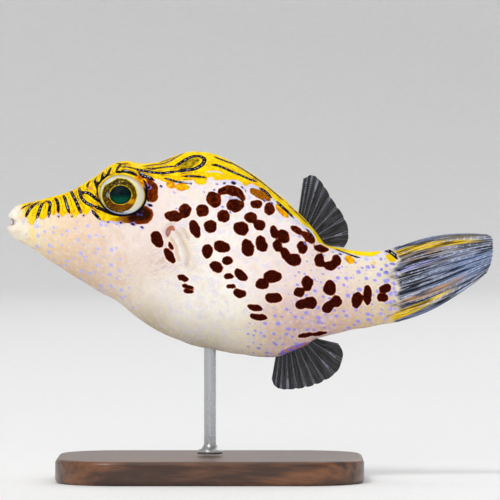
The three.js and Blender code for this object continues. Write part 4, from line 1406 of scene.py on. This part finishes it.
FIN_ROWS = 44
FIN_COLUMNS_PER_RAY = 10
FIN_CLEARANCE = 0.02  # how much shorter the rays are than the CAD's, in mm
FORK_START = 0.4  # the share of the way along a ray where it starts to fork
TAIL_ROOT_SPACING = 1.1  # how far apart the tail fin's rays leave the flesh, in mm
PECTORAL_THICKNESS = (0.14, 0.05)  # half of it, at the root and at the edge
# Notches between the rays, a rounder first corner, how far the root reaches past the CAD's above
# and below, folds, sway, the rays' half width and fork, and half thicknesses, in mm.
SMOKY_FIN_LOOK = {
    "notch": 0.02, "first": 0.0, "lift": 0.0, "drop": 0.0, "fold": 0.02, "phase": 0.4,
    "sway": 0.18, "ray_width": 0.13, "fork": 0.09, "root": 0.22, "edge": 0.07, "ray": 0.07,
}
TAIL_FIN_LOOK = {
    "notch": 0.012, "first": 0.07, "lift": 0.15, "drop": 0.5, "fold": 0.1, "phase": 0.0,
    "sway": 0.1, "ray_width": 0.14, "fork": 0.2, "root": 0.32, "edge": 0.09, "ray": 0.1,
}


def ray_spacing(centre, u):
    """How far apart two rays are at each point of a fin, in mm."""
    step = np.linalg.norm(np.gradient(centre, axis=0), axis=2)
    return step / np.maximum(np.gradient(u, axis=0), 1e-9)


def ray_profile(u, t, spacing, width, fork):
    """Height of the rays across a fin, 0 to 1: each ray forks in two towards the edge."""
    off = np.abs(u - np.round(u)) * spacing
    split = fork * smoothstep(FORK_START, 1.0, t) * spacing
    return bump(off - split, width)


def plate_faces(columns, rows):
    """Faces of a plate between two grids of points, and a map of their corners."""
    count = columns * rows
    grid = np.arange(count).reshape(columns, rows)
    a, b, c, d = grid[:-1, :-1], grid[1:, :-1], grid[1:, 1:], grid[:-1, 1:]
    front = np.stack([a, b, c, d], axis=-1).reshape(-1, 4)
    back = np.stack([a, d, c, b], axis=-1).reshape(-1, 4) + count
    border = np.concatenate([grid[:, 0], grid[-1, 1:], grid[-2::-1, -1], grid[0, -2:0:-1]])
    onward = np.roll(border, -1)
    rim = np.column_stack([onward, border, count + border, count + onward])
    corners = np.concatenate([front, back, rim])
    column, row = np.divmod(corners.ravel() % count, rows)
    half = np.repeat([0.0, 0.5, 0.0], [front.size, back.size, rim.size])
    uvs = np.column_stack([half + 0.48 * column / (columns - 1), row / (rows - 1)])
    return corners.tolist(), uvs


def fin_plate(name, centre, half_thickness, u, t):
    """A closed thin plate: a grid of points, thickened both ways along its normals. Each point
    stores its ray number, its share along the ray and the rays' spacing."""
    normals = unit(np.cross(np.gradient(centre, axis=0), np.gradient(centre, axis=1)))
    offset = normals * half_thickness[..., None]
    points = np.concatenate([centre + offset, centre - offset]).reshape(-1, 3)
    faces, uvs = plate_faces(*centre.shape[:2])
    piece = add_mesh(name, points, faces)
    add_bake_map(piece, uvs)
    fan = np.column_stack([u.ravel(), t.ravel(), ray_spacing(centre, u).ravel()])
    add_attribute(piece, "fan", np.vstack([fan, fan]))
    return piece


def fin_grid(rays):
    """Shares across and along a fin, with the number of each ray across it."""
    columns = (rays - 1) * FIN_COLUMNS_PER_RAY + 1
    s, t = np.meshgrid(np.linspace(0, 1, columns), np.linspace(0, 1, FIN_ROWS), indexing="ij")
    return s, t, s * (rays - 1)


def scallop(u, rays, depth, first=0.1, last=0.1):
    """How long a fin is across its rays: lobes of web between nicks at the rays, round corners."""
    nick = 1 - np.abs(np.sin(math.pi * u)) ** 0.8
    ragged = 0.3 * np.sin(5.3 * u + 1.0) + 0.3 * np.sin(11.7 * u)
    corner = first * (1 - np.clip(u / 0.9, 0, 1)) ** 2
    corner = corner + last * (1 - np.clip((rays - 1 - u) / 0.9, 0, 1)) ** 2
    return 1 - depth * nick * (1 + ragged) - corner


def median_fin(name, fin, node, material, look):
    """An unpaired fin in the plane of symmetry."""
    s, t, u = fin_grid(fin["rays"])
    (x0, z0), (x1, z1) = fin["root"]
    z0, z1 = z0 + look["lift"], z1 - look["drop"]
    heading = np.radians(smooth(fin["angle"])(s))
    length = smooth(fin["length"])(s) * scallop(u, fin["rays"], look["notch"], look["first"])
    length = length - FIN_CLEARANCE
    x = mix(x0, x1, s) + np.cos(heading) * length * t
    z = mix(z0, z1, s) + np.sin(heading) * length * t
    z = z + fin["bow"] * (1 - 2 * s) * 4 * t * (1 - t)
    fold = look["fold"] * np.sin(math.pi * u + look["phase"]) * smoothstep(0, 0.5, t)
    sway = look["sway"] * np.sin(2.2 * s + 1.2) * t**2
    centre = np.stack([x, fold + sway, z], axis=-1)
    rays = ray_profile(u, t, ray_spacing(centre, u), look["ray_width"], look["fork"])
    half = mix(look["root"], look["edge"], t**0.7) + look["ray"] * rays * mix(1.0, 0.45, t)
    return dress(fin_plate(name, centre, half, u, t), material, [node])


def pectoral_fin(side, material):
    s, t, u = fin_grid(PECTORAL["rays"])
    (x0, z0), (x1, z1) = PECTORAL["root"]
    x, z = mix(x0, x1, s), mix(z0, z1, s)
    flank = -left_flank(x, 0.5 + 0 * x)[..., 1]
    share = scallop(u, PECTORAL["rays"], 0.01)
    reach = smooth(PECTORAL["reach"])(s) * share
    x = x + smooth(PECTORAL["sweep"])(s) * share * t - PECTORAL["cup"] * 4 * t * (1 - t)
    z = z + smooth(PECTORAL["rise"])(s) * share * t
    y = side * mix(flank - PECTORAL["inset"], flank + reach, t)
    x = x + 0.05 * np.sin(math.pi * u) * t
    half = mix(*PECTORAL_THICKNESS, t**0.7)
    node = "pectoral_fin_right" if side == RIGHT else "pectoral_fin_left"
    piece = fin_plate("web_" + node, np.stack([x, y, z], axis=-1), half, u, t)
    return dress(piece, material, [node])


# In the fins' materials a fan is the place on a fin: the number of the ray, the share of the way
# along it, and the spacing of the rays there.


def fan_of(s):
    return s.parts(s.attribute("fan", "Vector"))


def ray_mask(s, fan, half_width, fork):
    """Where a fin's rays run, forking as ray_profile does."""
    across, along, spacing = fan
    off = s.math("PINGPONG", across, 0.5)
    gap = s.math("ABSOLUTE", off - along.rises(FORK_START, 1.0) * fork) * spacing
    return gap.falls(half_width * 0.4, half_width * 1.5)


def fan_noise(s, fan, across_scale, along_scale, detail):
    """Noise drawn out along a fin's rays."""
    across, along, _ = fan
    return s.noise(s.point(across * across_scale, along * along_scale), 1.0, detail)


def smoky_fin_material():
    """Dorsal and anal fin: a smoky web with paler, finely jointed rays."""
    s = Shader("smoky_fin")
    fan = fan_of(s)
    along = fan[1]
    rays = ray_mask(s, fan, 0.075, 0.09)
    streaks = fan_noise(s, fan, 4.6, 2.0, 5.0)
    patches = fan_noise(s, fan, 1.1, 5.0, 2.0)
    s.colour = s.mix(streaks.rises(0.42, 0.58), (8, 8, 9), (54, 53, 55))
    s.paint(along.rises(0.45, 1.0) * 0.4, (60, 58, 58))
    joints = s.math("SINE", along * 130.0)
    pale = s.mix(joints.rises(-0.4, 0.9), (66, 68, 76), (126, 129, 142))
    pale = s.mix(patches.rises(0.5, 0.66) * along.rises(0.35, 0.8), pale, (150, 155, 172))
    s.paint(rays * along.rises(-0.05, 0.3) * 0.85, pale)
    s.emboss(streaks, 0.1, 0.6)
    return s.surface(Roughness=0.4, Alpha=rays * 0.1 + 0.88, Specular_IOR_Level=0.15)


def clear_fin_material():
    """Pectoral fins: almost clear, with bands of cream and of tan painted shade across the rays
    that make the web look softly folded, faint rays and a paler edge.
    """
    s = Shader("clear_fin")
    fan = fan_of(s)
    along = fan[1]
    # bands of tan painted shade between cream ones, so that the web looks folded
    folds = s.math("SINE", along * 17.0 + fan_noise(s, fan, 0.35, 1.5, 2.0) * 7.0)
    s.colour = s.mix(folds.rises(-0.6, 0.7), (232, 208, 186), (255, 252, 236))
    alpha = ray_mask(s, fan, 0.05, 0.15) * 0.05 + along.falls(0.0, 0.5) * 0.08
    alpha = alpha + along.rises(0.92, 0.99) * 0.12 + 0.08
    return s.surface(Roughness=0.5, Alpha=alpha, Specular_IOR_Level=0.1)


def tail_join(s, x, z):
    """0 on the flesh of the tail and 1 on its fin, whose rays run a little way into the flesh."""
    ragged = s.noise(s.point(x * 0.3, z * 0.6), 1.0, 5.0) * 6.4 - 3.2
    edges = z.falls(23.6, 25.6) * 1.1 + z.rises(33.8, 34.5) * 1.3
    return (x + ragged + edges).rises(21.3, 22.7)


def tail_fan_place(x, z):
    """Where a place at the root of the tail fin lies across and along its fan of rays."""
    (root_x, top), (_, bottom) = CAUDAL["root"]
    top, bottom = top + TAIL_FIN_LOOK["lift"], bottom - TAIL_FIN_LOOK["drop"]
    first, last = (math.tan(math.radians(CAUDAL["angle"][i][1])) for i in (0, -1))
    ahead = x - root_x
    share = (top - z) / (top - bottom)
    share = share + ahead * (share * (last - first) + first) / (top - bottom)
    return share * (CAUDAL["rays"] - 1.0), ahead / CAUDAL["length"][0][1]


def paint_tail_web(s, share, along, streaks, threads, groups):
    """Dark and grey streaks, blue in the middle, with a lavender, a navy and a black patch."""
    s.colour = s.mix(streaks.rises(0.45, 0.53), (14, 17, 23), (102, 108, 124))
    s.paint(threads.rises(0.54, 0.58) * 0.9, (184, 192, 216))
    s.paint(threads.falls(0.42, 0.46) * 0.9, (12, 14, 20))
    s.paint(groups.rises(0.5, 0.6) * streaks.rises(0.42, 0.55) * 0.5, (138, 124, 110))
    blue = s.mix(streaks.rises(0.42, 0.55), (30, 46, 78), (138, 164, 210))
    s.paint(share.rises(0.3, 0.45) * share.falls(0.75, 0.9) * along.rises(0.1, 0.8) * 0.65, blue)
    lavender = share.within(0.3, 0.35, 0.025) * along.falls(0.3, 0.6) * threads.rises(0.49, 0.55)
    s.paint(lavender * 0.8, (172, 168, 232))
    navy = share.within(0.6, 0.67, 0.02) * along.falls(0.6, 0.8) * streaks.falls(0.48, 0.56)
    s.paint(navy * 0.85, (20, 28, 48))
    black = share.within(0.38, 0.58, 0.05) * along.falls(0.1, 0.34) * threads.falls(0.5, 0.6)
    s.paint(black * 0.9, (22, 24, 26))


def paint_tail_stripes(s, share, along, streaks, threads, groups):
    """Olive at the upper edge, tan groups of rays, and a gold stripe above and below."""
    s.paint(share.falls(0.05, 0.12) * groups.rises(0.42, 0.55) * 0.6, (140, 124, 66))
    tan = s.either(share.within(0.15, 0.25, 0.03), share.within(0.71, 0.79, 0.03))
    tan = tan * along.rises(0.0, 0.12) * along.falls(0.6, 0.9)
    tan = tan * streaks.rises(0.43, 0.54) * threads.rises(0.46, 0.52)
    s.paint(tan * 0.9, s.mix(share.rises(0.4, 0.6), (150, 120, 70), (206, 150, 62)))
    ragged = groups * 0.05 - 0.025
    upper = s.math("ABSOLUTE", share - (along * 0.07 + 0.08)) + ragged
    lower = s.math("ABSOLUTE", share - (along * -0.09 + 0.915)) + ragged
    lower = lower + along.rises(-0.02, 0.5) * 0.02
    stripes = s.either(upper.falls(0.028, 0.048) * along.falls(0.62, 0.98),
                       lower.falls(0.05, 0.07) * along.falls(0.4, 0.72))
    gold = s.mix(streaks.rises(0.43, 0.53), (104, 80, 0), (232, 192, 0))
    gold = s.mix(threads.rises(0.56, 0.64) * 0.6, gold, (255, 238, 110))
    s.paint(stripes * 0.95, gold)


def paint_tail_rays(s, fan, share, streaks):
    """Pale rays with small cross joints, and the fin's bluish upper and lower rims."""
    across, along, _ = fan
    joints = s.math("SINE", along * 88.0 + across * 1.7)
    pale = s.mix(joints.rises(0.5, 0.95), (150, 158, 184), (222, 224, 246))
    strong = fan_noise(s, fan, 1.6, 4.0, 3.0).rises(0.42, 0.56)
    s.paint(ray_mask(s, fan, 0.08, 0.2) * strong * along.rises(0.02, 0.08) * 0.75, pale)
    rims = s.either(share.rises(0.95, 0.98), share.falls(0.02, 0.05))
    s.paint(rims * streaks.rises(0.35, 0.5) * 0.7, (108, 120, 152))


def paint_tail_fin(s, fan):
    """The whole colour of the tail fin. Returns its coarse and its fine streaks."""
    across, along, _ = fan
    share = across / (CAUDAL["rays"] - 1.0)
    streaks = fan_noise(s, fan, 3.4, 2.4, 6.0)
    threads = fan_noise(s, fan, 5.2, 3.0, 4.0)
    groups = fan_noise(s, fan, 0.9, 1.4, 3.0)
    paint_tail_web(s, share, along, streaks, threads, groups)
    paint_tail_stripes(s, share, along, streaks, threads, groups)
    paint_tail_rays(s, fan, share, streaks)
    return streaks, threads


def tail_fin_material():
    s = Shader("tail_fin")
    streaks, threads = paint_tail_fin(s, fan_of(s))
    x, _, z = s.parts(s.place_in_mm())
    flesh = s.mix(z.rises(25.0, 30.0), (216, 190, 156), (226, 212, 200))
    s.colour = s.mix(tail_join(s, x, z), flesh, s.colour)
    s.emboss(streaks, 0.2, 0.7)
    s.emboss(threads, 0.08, 0.5)
    return s.surface(Roughness=0.36, Alpha=0.97, Specular_IOR_Level=0.2)


def make_fins():
    smoky, clear = smoky_fin_material(), clear_fin_material()
    full_front = {**SMOKY_FIN_LOOK, "first": -0.1}
    median_fin("web_dorsal_fin", DORSAL, "dorsal_fin", smoky, full_front)
    median_fin("web_anal_fin", ANAL, "anal_fin", smoky, SMOKY_FIN_LOOK)
    tail = tail_fin_material()
    median_fin("web_caudal_fin", CAUDAL, "caudal_fin", tail, TAIL_FIN_LOOK)
    for side in (LEFT, RIGHT):
        pectoral_fin(side, clear)


# ---------------------------------------------------------------- the stand

BASE_CORNER = 9.0
BASE_BEVEL = 0.7
BASE_CORNER_STEPS = 24
BASE_BEVEL_LEVELS = 7
ROD_RADIUS = 0.9
ROD_SIDES = 64
ROD_LEVELS = 12
# The collar at the rod's foot, as (radius, height over the foot) pairs.
COLLAR = [(1.9, 0.0), (1.9, 0.5), (1.78, 0.62), (1.25, 0.8), (1.0, 1.3), (0.9, 1.45)]


def box_mm(node):
    low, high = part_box(node)
    return np.array(low) / MM, np.array(high) / MM


def rounded_rectangle(low, high, inset, z):
    """One level of the base: the box's outline with round corners, drawn in by the inset."""
    radius = BASE_CORNER - inset
    corner_x = (high[0] - low[0]) / 2 - BASE_CORNER
    corner_y = (high[1] - low[1]) / 2 - BASE_CORNER
    centre = (low + high) / 2
    ring = []
    for quarter, (side_x, side_y) in enumerate(((1, 1), (-1, 1), (-1, -1), (1, -1))):
        for step in range(BASE_CORNER_STEPS + 1):
            turn = (quarter + step / BASE_CORNER_STEPS) * math.pi / 2
            x = centre[0] + side_x * corner_x + radius * math.cos(turn)
            y = centre[1] + side_y * corner_y + radius * math.sin(turn)
            ring.append((x, y, z))
    return ring


def rounded_plate(name, low, high):
    """A plate with rounded corners and rounded upper and lower edges."""
    levels = []
    for bend in np.linspace(0, math.pi / 2, BASE_BEVEL_LEVELS):
        inset, rise = BASE_BEVEL * (1 - math.sin(bend)), BASE_BEVEL * (1 - math.cos(bend))
        levels.append((inset, low[2] + rise))
    levels += [(inset, low[2] + high[2] - z) for inset, z in levels[::-1]]
    return stacked(name, [rounded_rectangle(low, high, inset, z) for inset, z in levels])


def walnut_material():
    s = Shader("walnut")
    here = s.place_in_mm()
    bent = s.noise(s.scaled(here, 0.03, 0.12, 0.12), 1.0, 3.0, "Color")
    at = s.vector("ADD", s.scaled(here, 0.035, 0.42, 0.42), s.scaled(bent, 1.6, 1.6, 1.6))
    grain = s.noise(at, 1.5, 6.0)
    pores = s.noise(s.scaled(here, 0.35, 5.0, 5.0), 1.0, 3.0)
    s.colour = s.mix(grain.rises(0.34, 0.66), (58, 32, 18), (122, 76, 44))
    s.paint(pores.rises(0.56, 0.7) * 0.5, (34, 18, 10))
    s.emboss(pores, 0.05, 0.35)
    return s.surface(Roughness=grain * 0.15 + 0.33, Coat_Weight=0.35, Coat_Roughness=0.22)


def steel_material():
    s = Shader("brushed_steel")
    lines = s.noise(s.scaled(s.place_in_mm(), 1.2, 1.2, 14.0), 1.0, 3.0)
    s.colour = s.mix(lines, (168, 170, 174), (208, 210, 212))
    s.emboss(lines, 0.01, 0.4)
    return s.surface(Metallic=1.0, Roughness=lines * 0.2 + 0.2)


def make_stand():
    base = rounded_plate("walnut_base", *box_mm("stand_base"))
    dress(base, walnut_material(), ["stand_base"])
    low, high = box_mm("stand_rod")
    profile = [(radius, low[2] + rise) for radius, rise in COLLAR]
    profile += [(ROD_RADIUS, z) for z in np.linspace(profile[-1][1], high[2], ROD_LEVELS)[1:]]
    rod = turned("steel_rod", (low + high) / 2, profile, ROD_SIDES)
    dress(rod, steel_material(), ["stand_rod"])


# ---------------------------------------------------------------- the studio

STAGE = {"flat": 1.1, "bend": 0.6, "wall": 1.6, "sides": 96}
VIEW = {"height": 34.5, "width": 75.0, "distance": 760.0, "elevation": 1.0}
SENSOR = 36.0


def make_stage():
    """A seamless pale floor that bends up into a wall all round, turned from its rim inwards."""
    flat, bend = STAGE["flat"], STAGE["bend"]
    profile = [(radius, 0.0) for radius in np.linspace(0.0, flat, 6)[1:]]
    for turn in np.linspace(0, math.pi / 2, 25)[1:]:
        profile.append((flat + bend * math.sin(turn), bend * (1 - math.cos(turn))))
    profile.append((flat + bend, STAGE["wall"]))
    in_mm = [(radius / MM, z / MM) for radius, z in profile[::-1]]
    bowl = turned("studio_floor", (0, 0), in_mm, STAGE["sides"], closed_below=False)
    s = Shader("studio_paper")
    s.colour = s.mix(s.noise(s.place_in_mm(), 0.4, 2.0), (244, 244, 244), (250, 250, 250))
    bowl.data.materials.append(s.surface(Roughness=0.9))


def add_light(name, place, aim, size, power):
    lamp = bpy.data.lights.new(name, "AREA")
    lamp.shape = "DISK"
    lamp.size = size
    lamp.energy = power
    light = bpy.data.objects.new(name, lamp)
    light.location = Vector(place)
    light.rotation_mode = "QUATERNION"
    light.rotation_quaternion = (Vector(aim) - Vector(place)).to_track_quat("-Z", "Y")
    light.visible_camera = False
    bpy.context.scene.collection.objects.link(light)
    return light


def make_lights():
    fish = (-0.005, 0.0, 0.034)
    add_light("key_light", (-0.35, -0.6, 0.95), fish, 0.35, 4.5)
    fill = add_light("fill_light", (-0.1, -1.2, 0.35), fish, 0.8, 3.95)
    fill.visible_glossy = False
    add_light("top_light", (0.0, 0.3, 1.1), fish, 0.8, 2.4)
    add_light("back_light", (0.3, 0.9, 0.7), fish, 0.8, 1.8)
    world = bpy.data.worlds.new("studio")
    world.use_nodes = True
    background = world.node_tree.nodes["Background"]
    background.inputs["Color"].default_value = (1.0, 1.0, 1.0, 1.0)
    background.inputs["Strength"].default_value = 0.36
    bpy.context.scene.world = world


def make_camera():
    """A long lens, level with the fish, with the photo's framing."""
    rise = math.radians(VIEW["elevation"])
    aim = Vector((0, 0, VIEW["height"])) * MM
    back = Vector((0, -math.cos(rise), math.sin(rise))) * VIEW["distance"] * MM
    lens = bpy.data.cameras.new("camera")
    lens.sensor_width = SENSOR
    lens.lens = SENSOR * VIEW["distance"] / VIEW["width"]
    lens.clip_start = 0.05
    lens.clip_end = 10.0
    camera = bpy.data.objects.new("camera", lens)
    camera.location = aim + back
    camera.rotation_mode = "QUATERNION"
    camera.rotation_quaternion = (-back).to_track_quat("-Z", "Y")
    bpy.context.scene.collection.objects.link(camera)
    bpy.context.scene.camera = camera


# ---------------------------------------------------------------- assembly

make_skin()
gold, clear_dome = eye_material(), cornea_material()
for eye_side in (LEFT, RIGHT):
    make_eye(eye_side, gold, clear_dome)
make_fins()
make_stand()
make_stage()
make_lights()
make_camera()
bpy.context.scene.view_settings.view_transform = "Standard"

bpy.context.view_layer.update()
